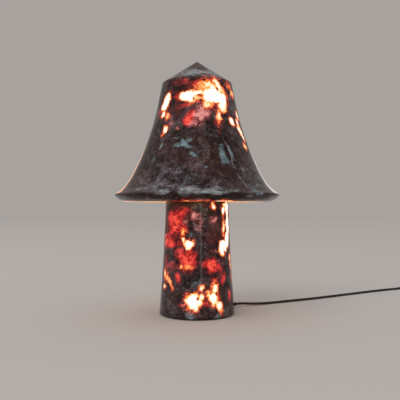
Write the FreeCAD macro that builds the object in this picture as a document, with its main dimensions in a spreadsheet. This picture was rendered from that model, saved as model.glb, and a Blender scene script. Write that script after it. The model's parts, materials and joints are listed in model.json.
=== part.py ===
"""A stone mushroom table lamp: a bell shade on a tapered hollow stem, with a lamp in each.

Millimetres, +Z up. The origin is on the surface that the lamp stands on, on the lamp's axis.
The room is in front of the lamp at -Y, and the cord leaves the foot behind, at the right (+X +Y).
"""
import FreeCAD, Part
import Sketcher
import math
import os

Vector = FreeCAD.Vector

# Driving dimensions, in millimetres and degrees. Heights are above the surface unless they say otherwise.
SIZES = {
    # Stem: a tapered stone tube that stands on a felt
    "stem_foot_radius": 56.6,
    "felt_inset": 2.6,
    "felt_thickness": 1.5,
    "stem_waist_radius": 50.6,
    "stem_waist_height": 92.0,
    "stem_head_radius": 46.4,
    "stem_head_height": 198.0,
    "stem_wall": 11.0,
    "stem_edge": 1.2,
    "foot_rim": 7.2,
    "head_rim": 5.5,
    # Shade: heights above its own lower edge
    "rim_height": 168.0,
    "shade_length": 212.0,
    "shade_wall": 9.3,
    "tip_round": 4.0,
    "cap_slope": 33.0,
    "corner_radius": 52.4,
    "corner_height": 178.3,
    "corner_round": 1.0,
    "waist_radius": 59.9,
    "waist_height": 142.3,
    "skirt_radius": 78.6,
    "skirt_height": 80.6,
    "flare_radius": 96.8,
    "flare_height": 40.7,
    "brim_radius": 105.7,
    "brim_height": 26.6,
    "lip_radius": 122.6,
    "lip_under_height": 8.6,
    "lip_top_inset": 0.7,
    "lip_top_height": 12.5,
    "lip_flat_radius": 104.0,
    "lip_bore_radius": 97.5,
    "lip_edge": 1.5,
    "seat_height": 62.0,
    "seat_radius": 68.0,
    "seat_width": 9.4,
    # Plates, rod and their fasteners
    "cavity_height": 9.0,
    "base_plate_thickness": 3.0,
    "head_plate_thickness": 2.5,
    "plate_gap": 0.4,
    "rod_radius": 5.0,
    "rod_bore": 3.7,
    "rod_foot_height": 3.0,
    "rod_entry": 8.0,
    "rod_window_height": 38.0,
    "rod_window_length": 11.0,
    "rod_window_width": 5.6,
    "thread_gap": 0.05,
    "nut_width": 14.0,
    "nut_height": 3.0,
    "washer_radius": 9.0,
    "washer_thickness": 1.0,
    # Carrier that the shade sits on
    "carrier_hub_radius": 13.0,
    "carrier_thickness": 2.0,
    "carrier_arm_width": 10.0,
    "carrier_bend_radius": 44.0,
    "carrier_tip_length": 9.5,
    "pad_radius": 3.2,
    "pad_thickness": 2.0,
    "pad_pin_radius": 1.4,
    "pad_inset": 4.6,
    "pad_gap": 0.1,
    # Lampholders, alike in the shade and in the stem
    "bulb_headroom": 24.44,
    "holder_radius": 14.0,
    "holder_wall": 1.8,
    "holder_length": 44.0,
    "holder_floor": 9.0,
    "holder_mouth_radius": 9.4,
    "holder_mouth_thickness": 1.6,
    "core_radius": 11.0,
    "core_base": 11.0,
    "core_floor": 8.0,
    "sleeve_radius": 7.9,
    "sleeve_thickness": 0.5,
    "contact_width": 4.0,
    "contact_thickness": 0.5,
    "contact_rise": 2.2,
    # Bulbs
    "cap_radius": 6.9,
    "cap_root_radius": 6.3,
    "cap_pitch": 2.8,
    "cap_gap": 0.2,
    "cap_length": 18.0,
    "button_radius": 2.4,
    "button_height": 1.0,
    "glass_neck_radius": 6.9,
    "glass_wall": 0.8,
    "globe_radius": 22.5,
    "globe_length": 55.0,
    "tube_lamp_radius": 13.0,
    "tube_lamp_length": 46.0,
    "tube_neck_length": 6.0,
    "mast_radius": 3.2,
    "filament_radius": 0.9,
    # Lower lampholder and its bridge
    "lower_offset": 21.5,
    "bridge_length": 46.0,
    "bridge_width": 14.0,
    "bridge_foot": 9.0,
    "bridge_rise": 10.0,
    "bridge_thickness": 1.5,
    "screw_radius": 1.5,
    "screw_head_radius": 2.8,
    "screw_head_height": 1.8,
    "hole_gap": 0.15,
    # Mains cord at the foot
    "cord_radius": 2.0,
    "exit_angle": 40.0,
    "exit_height": 5.0,
    "notch_width": 7.0,
    "relief_gap": 0.2,
    "relief_end": 80.0,
    "relief_flange_radius": 4.8,
    "relief_flange_thickness": 2.0,
    "relief_root_radius": 4.2,
    "relief_tip_radius": 2.9,
    "relief_tail": 47.0,
    "cord_gap": 0.05,
    "cord_turn_radius": 12.0,
    "cord_turn_distance": 30.0,
    "sheath_end_height": 24.0,
    "bushing_distance": 20.3,
    "bushing_bore": 4.4,
    "bushing_radius": 6.2,
    "bushing_flange": 8.0,
    "bushing_flange_thickness": 1.4,
    "grip_distance": 37.0,
    "grip_length": 19.0,
    "grip_width": 8.0,
    "grip_drop": 6.6,
    "grip_screw_spacing": 12.6,
    # Terminal block
    "block_across": -23.0,
    "block_along": 9.0,
    "block_width": 20.0,
    "block_length": 18.0,
    "block_height": 12.0,
    "block_pitch": 10.5,
    "insert_radius": 3.0,
    "insert_bore": 2.2,
    "insert_height": 5.5,
    "wire_stack": 1.1,
    "wire_radius": 0.9,
    "wire_bend": 4.0,
    "wire_step": 3.0,
    "wire_slack": 6.0,
    "wire_stagger": 2.0,
    "wire_gap": 0.3,
    # In-line switch
    "switch_length": 62.0,
    "switch_width": 25.0,
    "switch_end_width": 11.0,
    "switch_height": 15.0,
    "switch_split": 6.5,
    "switch_wall": 1.8,
    "switch_edge": 1.6,
    "rocker_length": 18.4,
    "rocker_width": 10.6,
    "rocker_gap": 0.4,
    "rocker_pin_height": 12.4,
    "rocker_pin_radius": 1.0,
    "rocker_pin_gap": 0.05,
    "rocker_tilt": 7.0,
    # Plug
    "plug_thickness": 14.4,
    "plug_width": 35.0,
    "plug_tail_width": 13.0,
    "plug_length": 38.0,
    "plug_edge": 2.0,
    "plug_relief_length": 25.0,
    "pin_spacing": 19.0,
    "pin_radius": 2.0,
    "pin_length": 19.0,
    "pin_sleeve_length": 10.0,
    "pin_sleeve_inset": 0.15,
    "pin_core_radius": 1.4,
    # Put-away coil and its tie
    "coil_start_radius": 33.0,
    "coil_gap": 0.5,
    "coil_layer_gap": 0.42,
    "coil_entry_length": 4.0,
    "coil_exit_length": 16.0,
    "tie_thickness": 0.5,
    "tie_width": 6.0,
    "tie_gap": 0.4,
}

COIL_TURNS = 8          # four in on the lower layer, four out on the upper one
CARRIER_ARMS = 3
FILAMENTS = 4
CAP_THREADS = 5

# Free cord from the strain relief at the foot to the in-line switch: points chosen by hand
LAMP_CORD_ROUTE = [
    (61.284, 51.423, 5.0), (70.476, 59.136, 5.0), (88.0, 64.8, 3.1), (112.0, 75.0, 2.0), (146.0, 94.0, 2.0),
    (188.0, 116.0, 2.0), (232.0, 143.0, 2.0), (277.0, 172.0, 2.0), (320.0, 200.5, 2.0), (360.0, 224.0, 2.0),
    (391.0, 240.0, 2.0), (409.0, 247.6, 4.9), (423.5, 252.6, 6.5), (435.3, 256.4, 6.5),
]
# Free cord from the switch to the coil. It starts at the switch's far end and lands on the coil's tail
COIL_CORD_ROUTE = [
    (494.31, 275.4, 6.5), (504.8, 278.78, 6.5), (521.0, 279.5, 4.3), (537.0, 269.5, 2.9), (546.6, 252.0, 2.8),
    (549.5, 233.0, 2.8), (549.5, 221.0, 2.8),
]

doc = FreeCAD.newDocument("mushroom_lamp")
sheet = doc.addObject("Spreadsheet::Sheet", "Sizes")
nodes = {}


class Size:
    """A number that also knows the sheet expression that it came from."""

    def __init__(self, value, text):
        self.value = value
        self.text = text

    def __add__(self, other):
        return self.joined("+", other)

    def __radd__(self, other):
        return number(other).joined("+", self)

    def __sub__(self, other):
        return self.joined("-", other)

    def __rsub__(self, other):
        return number(other).joined("-", self)

    def __mul__(self, other):
        return self.joined("*", other)

    def __rmul__(self, other):
        return number(other).joined("*", self)

    def __truediv__(self, other):
        return self.joined("/", other)

    def __neg__(self):
        return number(0.0).joined("-", self)

    def joined(self, sign, other):
        other = number(other)
        results = {
            "+": lambda: self.value + other.value,
            "-": lambda: self.value - other.value,
            "*": lambda: self.value * other.value,
            "/": lambda: self.value / other.value,
        }
        return Size(results[sign](), "(%s %s %s)" % (self.text, sign, other.text))


def number(item):
    """A plain number as a Size, and a Size as it is."""
    if isinstance(item, Size):
        return item
    return Size(float(item), "(%r)" % float(item))


def fill_sheet():
    """One row per driving dimension: its name beside its value, which has the name as its alias."""
    for row, (name, value) in enumerate(SIZES.items(), start=1):
        sheet.set("A%d" % row, name)
        sheet.set("B%d" % row, repr(value))
        sheet.setAlias("B%d" % row, name)
    doc.recompute()


def size(name):
    """A driving dimension, read from the sheet."""
    return Size(float(sheet.get(name)), "Sizes.%s" % name)


def polar(distance, degrees):
    """Across and along places of a point at a distance from the axis, at an angle from +X."""
    turn = math.radians(degrees)
    across = Size(distance.value * math.cos(turn), "(%s * cos(%r deg))" % (distance.text, float(degrees)))
    along = Size(distance.value * math.sin(turn), "(%s * sin(%r deg))" % (distance.text, float(degrees)))
    return across, along


def bind(item, name, measure):
    """Bind a property of a document object to the sheet."""
    item.setExpression(name, number(measure).text)


def placed(item, place, rotation=None):
    """Put an object at a place, bound to the sheet, and turn it."""
    start = Vector(*[number(measure).value for measure in place])
    item.Placement = FreeCAD.Placement(start, rotation or FreeCAD.Rotation())
    for axis, measure in zip("xyz", place):
        if isinstance(measure, Size):
            bind(item, "Placement.Base." + axis, measure)
    return item


def node(name, item):
    """Register a document object as a finished sub-part."""
    item.Label = name
    nodes[name] = item
    return item


# Outlines. A step is ("line", x, y), ("arc", x, y), which leaves the last piece in its own direction,
# or ("bow", middle x, middle y, x, y), an arc through a middle point.


def turned(direction, angle):
    """A flat direction turned by an angle in radians."""
    cosine, sine = math.cos(angle), math.sin(angle)
    return Vector(direction.x * cosine - direction.y * sine, direction.x * sine + direction.y * cosine, 0)


def leaving_arc(start, heading, end):
    """Middle point and end direction of the arc that leaves start along heading and reaches end."""
    chord = end - start
    lean = math.atan2(heading.x * chord.y - heading.y * chord.x, heading.dot(chord))
    side = turned(chord * 0.5, -math.pi / 2)
    return (start + end) * 0.5 + side * math.tan(lean / 2), turned(heading, 2 * lean)


def draw(sketch, start, steps):
    """Draw a closed outline, with every corner bound to the sheet."""
    corners = [tuple(number(measure) for measure in start)]
    for step in steps:
        corners.append((number(step[-2]), number(step[-1])))
    corners.append(corners[0])
    steps = steps + [("line",) + tuple(start)]
    heading = None
    pieces = []
    for index, step in enumerate(steps):
        first = Vector(corners[index][0].value, corners[index][1].value, 0)
        last = Vector(corners[index + 1][0].value, corners[index + 1][1].value, 0)
        if step[0] == "line":
            curve = Part.LineSegment(first, last)
            heading = (last - first).normalize()
        else:
            if step[0] == "arc":
                middle, heading = leaving_arc(first, heading, last)
            else:
                middle = Vector(number(step[1]).value, number(step[2]).value, 0)
                heading = bow_end_heading(first, middle, last)
            anticlockwise = (middle - first).cross(last - middle).z > 0
            curve = Part.Arc(first, middle, last) if anticlockwise else Part.Arc(last, middle, first)
        place = sketch.addGeometry(curve, False)
        drawn = sketch.Geometry[place]
        forward = (drawn.StartPoint - first).Length < (drawn.EndPoint - first).Length
        pieces.append((place, 1 if forward else 2, 2 if forward else 1))
        if step[0] == "bow":
            spot = sketch.addGeometry(Part.Point(middle), True)
            sketch.addConstraint(Sketcher.Constraint("PointOnObject", spot, 1, place))
            fix_point(sketch, spot, 1, number(step[1]), number(step[2]))
    for index, step in enumerate(steps):
        before = pieces[index - 1]
        here = pieces[index]
        kind = "Tangent" if step[0] == "arc" else "Coincident"
        sketch.addConstraint(Sketcher.Constraint(kind, before[0], before[2], here[0], here[1]))
        fix_point(sketch, here[0], here[1], *corners[index])


def bow_end_heading(first, middle, last):
    """Direction at the end of the arc through three points."""
    half, whole = middle - first, last - first
    lean = math.atan2(half.x * whole.y - half.y * whole.x, half.dot(whole))
    return turned(last - middle, lean).normalize()


def fix_point(sketch, piece, end, across, up):
    """Fix a point of a sketch by its two distances from the origin."""
    for kind, measure, axis in (("DistanceX", across, -2), ("DistanceY", up, -1)):
        if abs(measure.value) < 1e-9:
            sketch.addConstraint(Sketcher.Constraint("PointOnObject", piece, end, axis))
            continue
        place = sketch.addConstraint(Sketcher.Constraint(kind, -1, 1, piece, end, measure.value))
        name = "%s_%d" % (kind.lower(), place)
        sketch.renameConstraint(place, name)
        sketch.setExpression("Constraints." + name, measure.text)


def sketch_on(body, role, name):
    """A sketch on one of a body's own planes."""
    plane = [item for item in body.Origin.OriginFeatures if item.Role == role][0]
    sketch = body.newObject("Sketcher::SketchObject", name)
    sketch.AttachmentSupport = [(plane, "")]
    sketch.MapMode = "FlatFace"
    return sketch


def lathe(label, start, steps, place=(0, 0, 0), rotation=None):
    """A turned piece: an outline of radius and height, spun about its own Z axis."""
    body = doc.addObject("PartDesign::Body", label)
    sketch = sketch_on(body, "XZ_Plane", label + "_profile")
    draw(sketch, start, steps)
    spin = body.newObject("PartDesign::Revolution", label + "_spin")
    spin.Profile = sketch
    spin.ReferenceAxis = (sketch, ["V_Axis"])
    spin.Angle = 360.0
    sketch.Visibility = False
    return placed(body, place, rotation)


def dome(label, start, steps, place=(0, 0, 0)):
    """A turned piece with an arc that reaches the axis, which a body's own revolution refuses."""
    sketch = doc.addObject("Sketcher::SketchObject", label + "_profile")
    sketch.Placement = FreeCAD.Placement(Vector(), FreeCAD.Rotation(Vector(1, 0, 0), 90))
    draw(sketch, start, steps)
    spin = doc.addObject("Part::Revolution", label)
    spin.Source = sketch
    spin.Axis = Vector(0, 0, 1)
    spin.Angle = 360.0
    spin.Solid = True
    sketch.Visibility = False
    return placed(spin, place)


def ring(label, outer, inner, low, high, place=(0, 0, 0), rotation=None):
    """A flat ring or a tube, between two heights."""
    steps = [("line", outer, low), ("line", outer, high), ("line", inner, high)]
    return lathe(label, (inner, low), steps, place, rotation)


def slab(label, start, steps, depth, place=(0, 0, 0), rotation=None, role="XY_Plane", middle=False):
    """A flat outline given a thickness, to one side of its plane or to both."""
    body = doc.addObject("PartDesign::Body", label)
    sketch = sketch_on(body, role, label + "_outline")
    draw(sketch, start, steps)
    pad = body.newObject("PartDesign::Pad", label + "_pad")
    pad.Profile = sketch
    bind(pad, "Length", depth)
    pad.Midplane = middle
    sketch.Visibility = False
    return placed(body, place, rotation)


def pillar(label, radius, length, place=(0, 0, 0), rotation=None):
    """A round bar along its own Z axis."""
    item = doc.addObject("Part::Cylinder", label)
    bind(item, "Radius", radius)
    bind(item, "Height", length)
    return placed(item, place, rotation)


def block(label, length, width, height, place=(0, 0, 0), rotation=None):
    """A box that starts at its place and reaches along +X, +Y and +Z."""
    item = doc.addObject("Part::Box", label)
    bind(item, "Length", length)
    bind(item, "Width", width)
    bind(item, "Height", height)
    return placed(item, place, rotation)


def hexagon(label, width, bore, height, place):
    """A hexagon nut with a plain bore, on its own Z axis."""
    prism = doc.addObject("Part::Prism", label + "_hexagon")
    prism.Polygon = 6
    bind(prism, "Circumradius", width / math.sqrt(3))
    bind(prism, "Height", height)
    hole = pillar(label + "_bore", bore, height)
    return placed(cut(label, prism, [hole]), place)


def joined(label, items):
    """Several overlapping solids as one."""
    item = doc.addObject("Part::MultiFuse", label)
    item.Shapes = items
    item.Refine = True
    return item


def group(label, items):
    """Separate solids that share one node."""
    item = doc.addObject("Part::Compound", label)
    item.Links = items
    return item


def cut(label, base, tools):
    """A solid with others taken out of it."""
    item = doc.addObject("Part::Cut", label)
    item.Base = base
    item.Tool = tools[0] if len(tools) == 1 else group(label + "_tools", tools)
    return item


def feature(label, shape, placement=None):
    """A sub-part whose shape is worked out with Part's own functions."""
    item = doc.addObject("Part::Feature", label)
    item.Shape = shape
    if placement:
        item.Placement = placement
    return item


ALONG_X = FreeCAD.Rotation(Vector(0, 1, 0), 90)
ALONG_Y = FreeCAD.Rotation(Vector(1, 0, 0), -90)


def cosine(angle):
    return Size(math.cos(math.radians(angle.value)), "cos(%s * 1 deg)" % angle.text)


def sine(angle):
    return Size(math.sin(math.radians(angle.value)), "sin(%s * 1 deg)" % angle.text)


def root(measure):
    return Size(math.sqrt(measure.value), "sqrt(%s)" % measure.text)


fill_sheet()
S = {name: size(name) for name in SIZES}

PLATE_TOP = S["cavity_height"] + S["base_plate_thickness"]
EXIT = (cosine(S["exit_angle"]), sine(S["exit_angle"]))
EXIT_WAY = Vector(EXIT[0].value, EXIT[1].value, 0)
OUT_OF_FOOT = FreeCAD.Rotation(Vector(0, 0, 1), EXIT_WAY)
TURN_TO_EXIT = FreeCAD.Rotation(Vector(0, 0, 1), SIZES["exit_angle"])
SCREW_HOLE = S["screw_radius"] + S["hole_gap"]
SEAT = S["rim_height"] + S["seat_height"]
CARRIER_FOOT = S["stem_head_height"] + S["washer_thickness"] + S["nut_height"]
RECESS_RADIUS = S["seat_radius"] + S["seat_width"]
PAD_DISTANCE = RECESS_RADIUS - S["pad_inset"]
BASE_REBATE = S["stem_foot_radius"] - S["foot_rim"]
HEAD_REBATE = S["stem_head_radius"] - S["head_rim"]
BASE_PLATE_RADIUS = BASE_REBATE - S["plate_gap"]
HEAD_PLATE_RADIUS = HEAD_REBATE - S["plate_gap"]
CEILING = S["rim_height"] + S["shade_length"] - S["shade_wall"] * 1.2
BULB_FOOT = S["core_base"] + S["core_floor"] + S["contact_rise"] + S["cap_gap"]
UPPER_HOLDER = CEILING - S["bulb_headroom"] - S["globe_length"] - S["cap_length"] - BULB_FOOT


def exit_place(distance, side, height):
    """A place at a distance along the cord's way out of the foot, and to its left."""
    across = distance * EXIT[0] - side * EXIT[1]
    along = distance * EXIT[1] + side * EXIT[0]
    return across, along, number(height)


# Stone


def shade():
    """Bell with a low cone on top, a rounded lip, and a shoulder inside that the carrier's pads bear on."""
    wall, rim = S["shade_wall"], S["rim_height"]
    wall_lean, cap_lean, cap_rise = 0.22, 0.84, 0.54
    round_off = S["corner_round"]
    tip, slope = S["tip_round"], S["cap_slope"]
    tip_centre = rim + S["shade_length"] - tip
    steps = [
        ("line", S["lip_flat_radius"], rim),
        ("arc", S["lip_radius"], rim + S["lip_under_height"]),
        ("arc", S["lip_radius"] - S["lip_top_inset"], rim + S["lip_top_height"]),
        ("arc", S["brim_radius"], rim + S["brim_height"]),
        ("arc", S["flare_radius"], rim + S["flare_height"]),
        ("arc", S["skirt_radius"], rim + S["skirt_height"]),
        ("arc", S["waist_radius"], rim + S["waist_height"]),
        ("line", S["corner_radius"] + round_off * wall_lean, rim + S["corner_height"] - round_off),
        ("arc", S["corner_radius"] - round_off * cap_lean, rim + S["corner_height"] + round_off * cap_rise),
        ("line", tip * sine(slope), tip_centre + tip * cosine(slope)),
        ("bow", tip * sine(slope / 2), tip_centre + tip * cosine(slope / 2), 0, tip_centre + tip),
        ("line", 0, CEILING),
        ("line", S["corner_radius"] - wall, rim + S["corner_height"] - wall * 0.55),
        ("line", S["waist_radius"] - wall * 1.03, rim + S["waist_height"]),
        ("line", S["seat_radius"], SEAT),
        ("line", RECESS_RADIUS, SEAT),
        ("bow", S["flare_radius"] - wall * 1.12, rim + S["flare_height"],
         S["lip_bore_radius"], rim + S["lip_edge"]),
    ]
    node("shade_stone", dome("shade", (S["lip_bore_radius"] + S["lip_edge"], rim), steps))


def stem():
    """Tapered tube, rebated for a plate at each end, with a notch for the cord."""
    foot, head, wall, edge = S["stem_foot_radius"], S["stem_head_radius"], S["stem_wall"], S["stem_edge"]
    head_ledge = S["stem_head_height"] - S["head_plate_thickness"]
    steps = [
        ("line", foot - edge, S["felt_thickness"]),
        ("line", foot, S["felt_thickness"] + edge),
        ("bow", S["stem_waist_radius"], S["stem_waist_height"], head, S["stem_head_height"] - edge),
        ("line", head - edge, S["stem_head_height"]),
        ("line", HEAD_REBATE, S["stem_head_height"]),
        ("line", HEAD_REBATE, head_ledge),
        ("line", head - wall, head_ledge),
        ("bow", S["stem_waist_radius"] - wall, S["stem_waist_height"], foot - wall, PLATE_TOP),
        ("line", BASE_REBATE, PLATE_TOP),
    ]
    tube = lathe("stem_tube", (BASE_REBATE, S["felt_thickness"]), steps)
    inside = BASE_REBATE - wall
    notch = block("stem_notch", S["stem_foot_radius"] + wall - inside, S["notch_width"],
                  S["exit_height"] + S["notch_width"] / 2,
                  exit_place(inside, S["notch_width"] / -2, 0), TURN_TO_EXIT)
    node("stem_stone", cut("stem", tube, [notch]))
    node("base_felt", pillar("felt", S["stem_foot_radius"] - S["felt_inset"], S["felt_thickness"]))


# Plates, rod and carrier


def base_plate():
    """Steel disc in the foot's rebate, drilled for what it carries."""
    low, thick = S["cavity_height"], S["base_plate_thickness"]
    disc = ring("base_disc", BASE_PLATE_RADIUS, S["rod_radius"] + S["hole_gap"], low, low + thick)
    holes = [pillar("bushing_hole", S["bushing_radius"] + S["hole_gap"], thick,
                    exit_place(S["bushing_distance"], 0, low))]
    for index, side in enumerate((-0.5, 0.5)):
        spot = exit_place(S["grip_distance"], S["grip_screw_spacing"] * side, low)
        holes.append(pillar("grip_hole_%d" % index, SCREW_HOLE, thick, spot))
        across = (S["bridge_length"] - S["bridge_foot"]) * side
        holes.append(pillar("bridge_hole_%d" % index, SCREW_HOLE, thick, (across, -S["lower_offset"], low)))
    holes.append(pillar("block_hole", SCREW_HOLE, thick, (S["block_across"], S["block_along"], low)))
    node("base_plate", cut("base_plate_drilled", disc, holes))


def head_plate():
    """Steel disc in the stem's head, clamped there by the rod."""
    low = S["stem_head_height"] - S["head_plate_thickness"]
    node("head_plate", ring("head_disc", HEAD_PLATE_RADIUS, S["rod_radius"] + S["hole_gap"],
                            low, S["stem_head_height"]))


def rod():
    """Hollow threaded rod from the foot to the upper lampholder, with a window for its wires."""
    length = UPPER_HOLDER + S["rod_entry"] - S["rod_foot_height"]
    bar = pillar("rod_bar", S["rod_radius"], length, (0, 0, S["rod_foot_height"]))
    bore = pillar("rod_hole", S["rod_bore"], length, (0, 0, S["rod_foot_height"]))
    window = block("rod_window", S["rod_radius"] * 2, S["rod_window_width"], S["rod_window_length"],
                   (S["rod_radius"] * -2, S["rod_window_width"] / -2, S["rod_window_height"]))
    node("centre_rod", cut("rod", bar, [bore, window]))


def rod_fasteners():
    """Nuts and washers that clamp the stem, the carrier and the upper holder on the rod."""
    bore = S["rod_radius"] + S["thread_gap"]
    nut_heights = {
        "foot": S["cavity_height"] - S["washer_thickness"] - S["nut_height"],
        "floor": PLATE_TOP + S["washer_thickness"],
        "head": S["stem_head_height"] + S["washer_thickness"],
        "carrier": CARRIER_FOOT + S["carrier_thickness"],
        "holder": UPPER_HOLDER - S["nut_height"],
    }
    nuts = [hexagon("nut_" + name, S["nut_width"], bore, S["nut_height"], (0, 0, height))
            for name, height in nut_heights.items()]
    washer_heights = (S["cavity_height"] - S["washer_thickness"], PLATE_TOP, S["stem_head_height"])
    washers = [ring("washer_%d" % index, S["washer_radius"], bore, height, height + S["washer_thickness"])
               for index, height in enumerate(washer_heights)]
    node("rod_nuts", group("nuts", nuts))
    node("rod_washers", group("washers", washers))


def carrier():
    """Bent steel arms on a hub, each with a silicone pad that the shade's shoulder rests on."""
    thick, low = S["carrier_thickness"], CARRIER_FOOT
    tip_top = SEAT - S["pad_thickness"]
    tip_end = PAD_DISTANCE + S["pad_radius"]
    tip_start = tip_end - S["carrier_tip_length"]
    inner = S["carrier_hub_radius"] - thick
    skew = thick * 0.45
    bend = S["carrier_bend_radius"]
    steps = [
        ("line", bend, low), ("line", tip_start, tip_top - thick), ("line", tip_end, tip_top - thick),
        ("line", tip_end, tip_top), ("line", tip_start - skew, tip_top), ("line", bend - skew, low + thick),
        ("line", inner, low + thick),
    ]
    parts = [ring("carrier_hub", S["carrier_hub_radius"], S["rod_radius"] + S["hole_gap"], low, low + thick)]
    holes = []
    pads = []
    for index in range(CARRIER_ARMS):
        angle = 60 + index * 360 / CARRIER_ARMS
        turn = FreeCAD.Rotation(Vector(0, 0, 1), angle)
        parts.append(slab("arm_%d" % index, (inner, low), steps, S["carrier_arm_width"], rotation=turn,
                          role="XZ_Plane", middle=True))
        across, along = polar(PAD_DISTANCE, angle)
        spot = (across, along, tip_top - thick)
        holes.append(pillar("pad_hole_%d" % index, S["pad_pin_radius"] + S["pad_gap"], thick, spot))
        pads.append(lathe("pad_%d" % index, (0, 0), [
            ("line", S["pad_pin_radius"], 0), ("line", S["pad_pin_radius"], thick),
            ("line", S["pad_radius"], thick), ("line", S["pad_radius"], thick + S["pad_thickness"]),
            ("line", 0, thick + S["pad_thickness"])], spot))
    node("shade_carrier", cut("carrier", joined("carrier_arms", parts), holes))
    node("carrier_pads", group("pads", pads))


# Lampholders and bulbs


def holder(name, place):
    """Lampholder: outer shell, core with the brass sleeve, and the centre contact."""
    wall, mouth = S["holder_wall"], S["holder_mouth_radius"]
    top = S["holder_length"]
    shell_steps = [
        ("line", S["holder_radius"] - 1, 0), ("line", S["holder_radius"], 1),
        ("line", S["holder_radius"], top - 1),
        ("line", S["holder_radius"] - 1, top), ("line", mouth, top),
        ("line", mouth, top - S["holder_mouth_thickness"]),
        ("line", S["holder_radius"] - wall, top - S["holder_mouth_thickness"]),
        ("line", S["holder_radius"] - wall, S["holder_floor"]),
        ("line", S["rod_radius"] + S["thread_gap"], S["holder_floor"]),
    ]
    node(name + "_holder_shell",
         lathe(name + "_shell", (S["rod_radius"] + S["thread_gap"], 0), shell_steps, place))
    sleeve = S["sleeve_radius"]
    floor = S["core_base"] + S["core_floor"]
    core_top = top - S["holder_mouth_thickness"]
    core_steps = [
        ("line", S["core_radius"], S["core_base"]), ("line", S["core_radius"], core_top),
        ("line", sleeve, core_top), ("line", sleeve, floor), ("line", 0, floor),
    ]
    node(name + "_holder_core", lathe(name + "_core", (0, S["core_base"]), core_steps, place))
    node(name + "_thread_sleeve", ring(name + "_sleeve", sleeve, sleeve - S["sleeve_thickness"],
                                       floor, core_top, place))
    half, thick, rise = S["contact_width"], S["contact_thickness"], S["contact_rise"]
    strip = [
        ("line", half, floor), ("line", half, floor + thick), ("line", thick - half, floor + thick),
        ("line", half / 2, floor + rise - thick), ("line", half / 2, floor + rise),
        ("line", half / -2, floor + rise), ("line", -half, floor + thick),
    ]
    node(name + "_centre_contact", slab(name + "_contact", (-half, floor), strip, S["contact_width"], place,
                                        role="XZ_Plane", middle=True))


def bulb_cap(name, place):
    """Screw cap with its contact button, on its own Z axis."""
    rootr, crest, pitch = S["cap_root_radius"], S["cap_radius"], S["cap_pitch"]
    low = BULB_FOOT
    thread = low + S["cap_length"] - pitch * CAP_THREADS - 1
    steps = [("line", S["button_radius"], low), ("line", S["button_radius"], low + S["button_height"]),
             ("line", rootr, thread)]
    for turn in range(CAP_THREADS):
        start = thread + pitch * turn
        steps.append(("bow", crest, start + pitch / 2, rootr, start + pitch))
    steps += [("line", rootr, low + S["cap_length"]), ("line", 0, low + S["cap_length"])]
    node(name + "_bulb_cap", lathe(name + "_cap", (0, low), steps, place))


def filaments(name, place, start, length, distance):
    """Mast with a plate at each end and straight filaments between the plates."""
    plate = 0.8
    radius = distance + S["filament_radius"] * 1.4
    foot = start + length * 0.28
    top = start + length * 0.76
    mast = [
        ("line", S["mast_radius"], start), ("line", S["mast_radius"] * 0.6, foot), ("line", radius, foot),
        ("line", radius, foot + plate), ("line", 1.0, foot + plate), ("line", 1.0, top),
        ("line", radius, top),
        ("line", radius, top + plate), ("line", 0, top + plate),
    ]
    node(name + "_bulb_mast", lathe(name + "_mast", (0, start), mast, place))
    sticks = []
    for index in range(FILAMENTS):
        across, along = polar(distance, 45 + index * 360 / FILAMENTS)
        spot = (across + place[0], along + place[1], number(place[2]) + foot + plate)
        sticks.append(pillar("%s_stick_%d" % (name, index), S["filament_radius"], top - foot - plate, spot))
    node(name + "_bulb_filaments", group(name + "_sticks", sticks))


def globe_bulb(name, place):
    """Round bulb."""
    bulb_cap(name, place)
    wall, neck, radius = S["glass_wall"], S["glass_neck_radius"], S["globe_radius"]
    low = BULB_FOOT + S["cap_length"]
    middle = low + S["globe_length"] - radius
    outside = middle - root(radius * radius - neck * neck)
    inner, throat = radius - wall, neck - wall
    inside = middle - root(inner * inner - throat * throat)
    steps = [
        ("line", neck, low), ("line", neck, outside), ("bow", radius, middle, 0, middle + radius),
        ("line", 0, middle + inner), ("bow", inner, middle, throat, inside), ("line", throat, low + wall),
        ("line", 0, low + wall),
    ]
    node(name + "_bulb_glass", dome(name + "_glass", (0, low), steps, place))
    filaments(name, place, low + wall, S["globe_length"] - radius / 2, S["mast_radius"] * 2)


def tube_bulb(name, place):
    """Small tubular bulb with a round end."""
    bulb_cap(name, place)
    wall, neck, radius = S["glass_wall"], S["glass_neck_radius"], S["tube_lamp_radius"]
    low = BULB_FOOT + S["cap_length"]
    collar, top = low + S["tube_neck_length"], low + S["tube_lamp_length"]
    shoulder = collar + radius * 0.6
    steps = [
        ("line", neck, low), ("line", neck, collar), ("line", radius, shoulder),
        ("line", radius, top - radius), ("arc", 0, top), ("line", 0, top - wall),
        ("bow", (radius - wall) / math.sqrt(2), top - radius + (radius - wall) / math.sqrt(2),
         radius - wall, top - radius),
        ("line", radius - wall, shoulder), ("line", neck - wall, collar), ("line", neck - wall, low + wall),
        ("line", 0, low + wall),
    ]
    node(name + "_bulb_glass", dome(name + "_glass", (0, low), steps, place))
    filaments(name, place, low + wall, S["tube_lamp_length"], S["mast_radius"] * 1.5)


def screw(label, head_low, tip, place, upward):
    """Pan-head screw on its own Z axis, between the outer face of its head and its tip."""
    sign = 1 if upward else -1
    head_end = head_low + S["screw_head_height"] * sign
    steps = [("line", S["screw_head_radius"], head_low), ("line", S["screw_head_radius"], head_end),
             ("line", S["screw_radius"], head_end), ("line", S["screw_radius"], tip), ("line", 0, tip)]
    return lathe(label, (0, head_low), steps, place)


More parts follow.
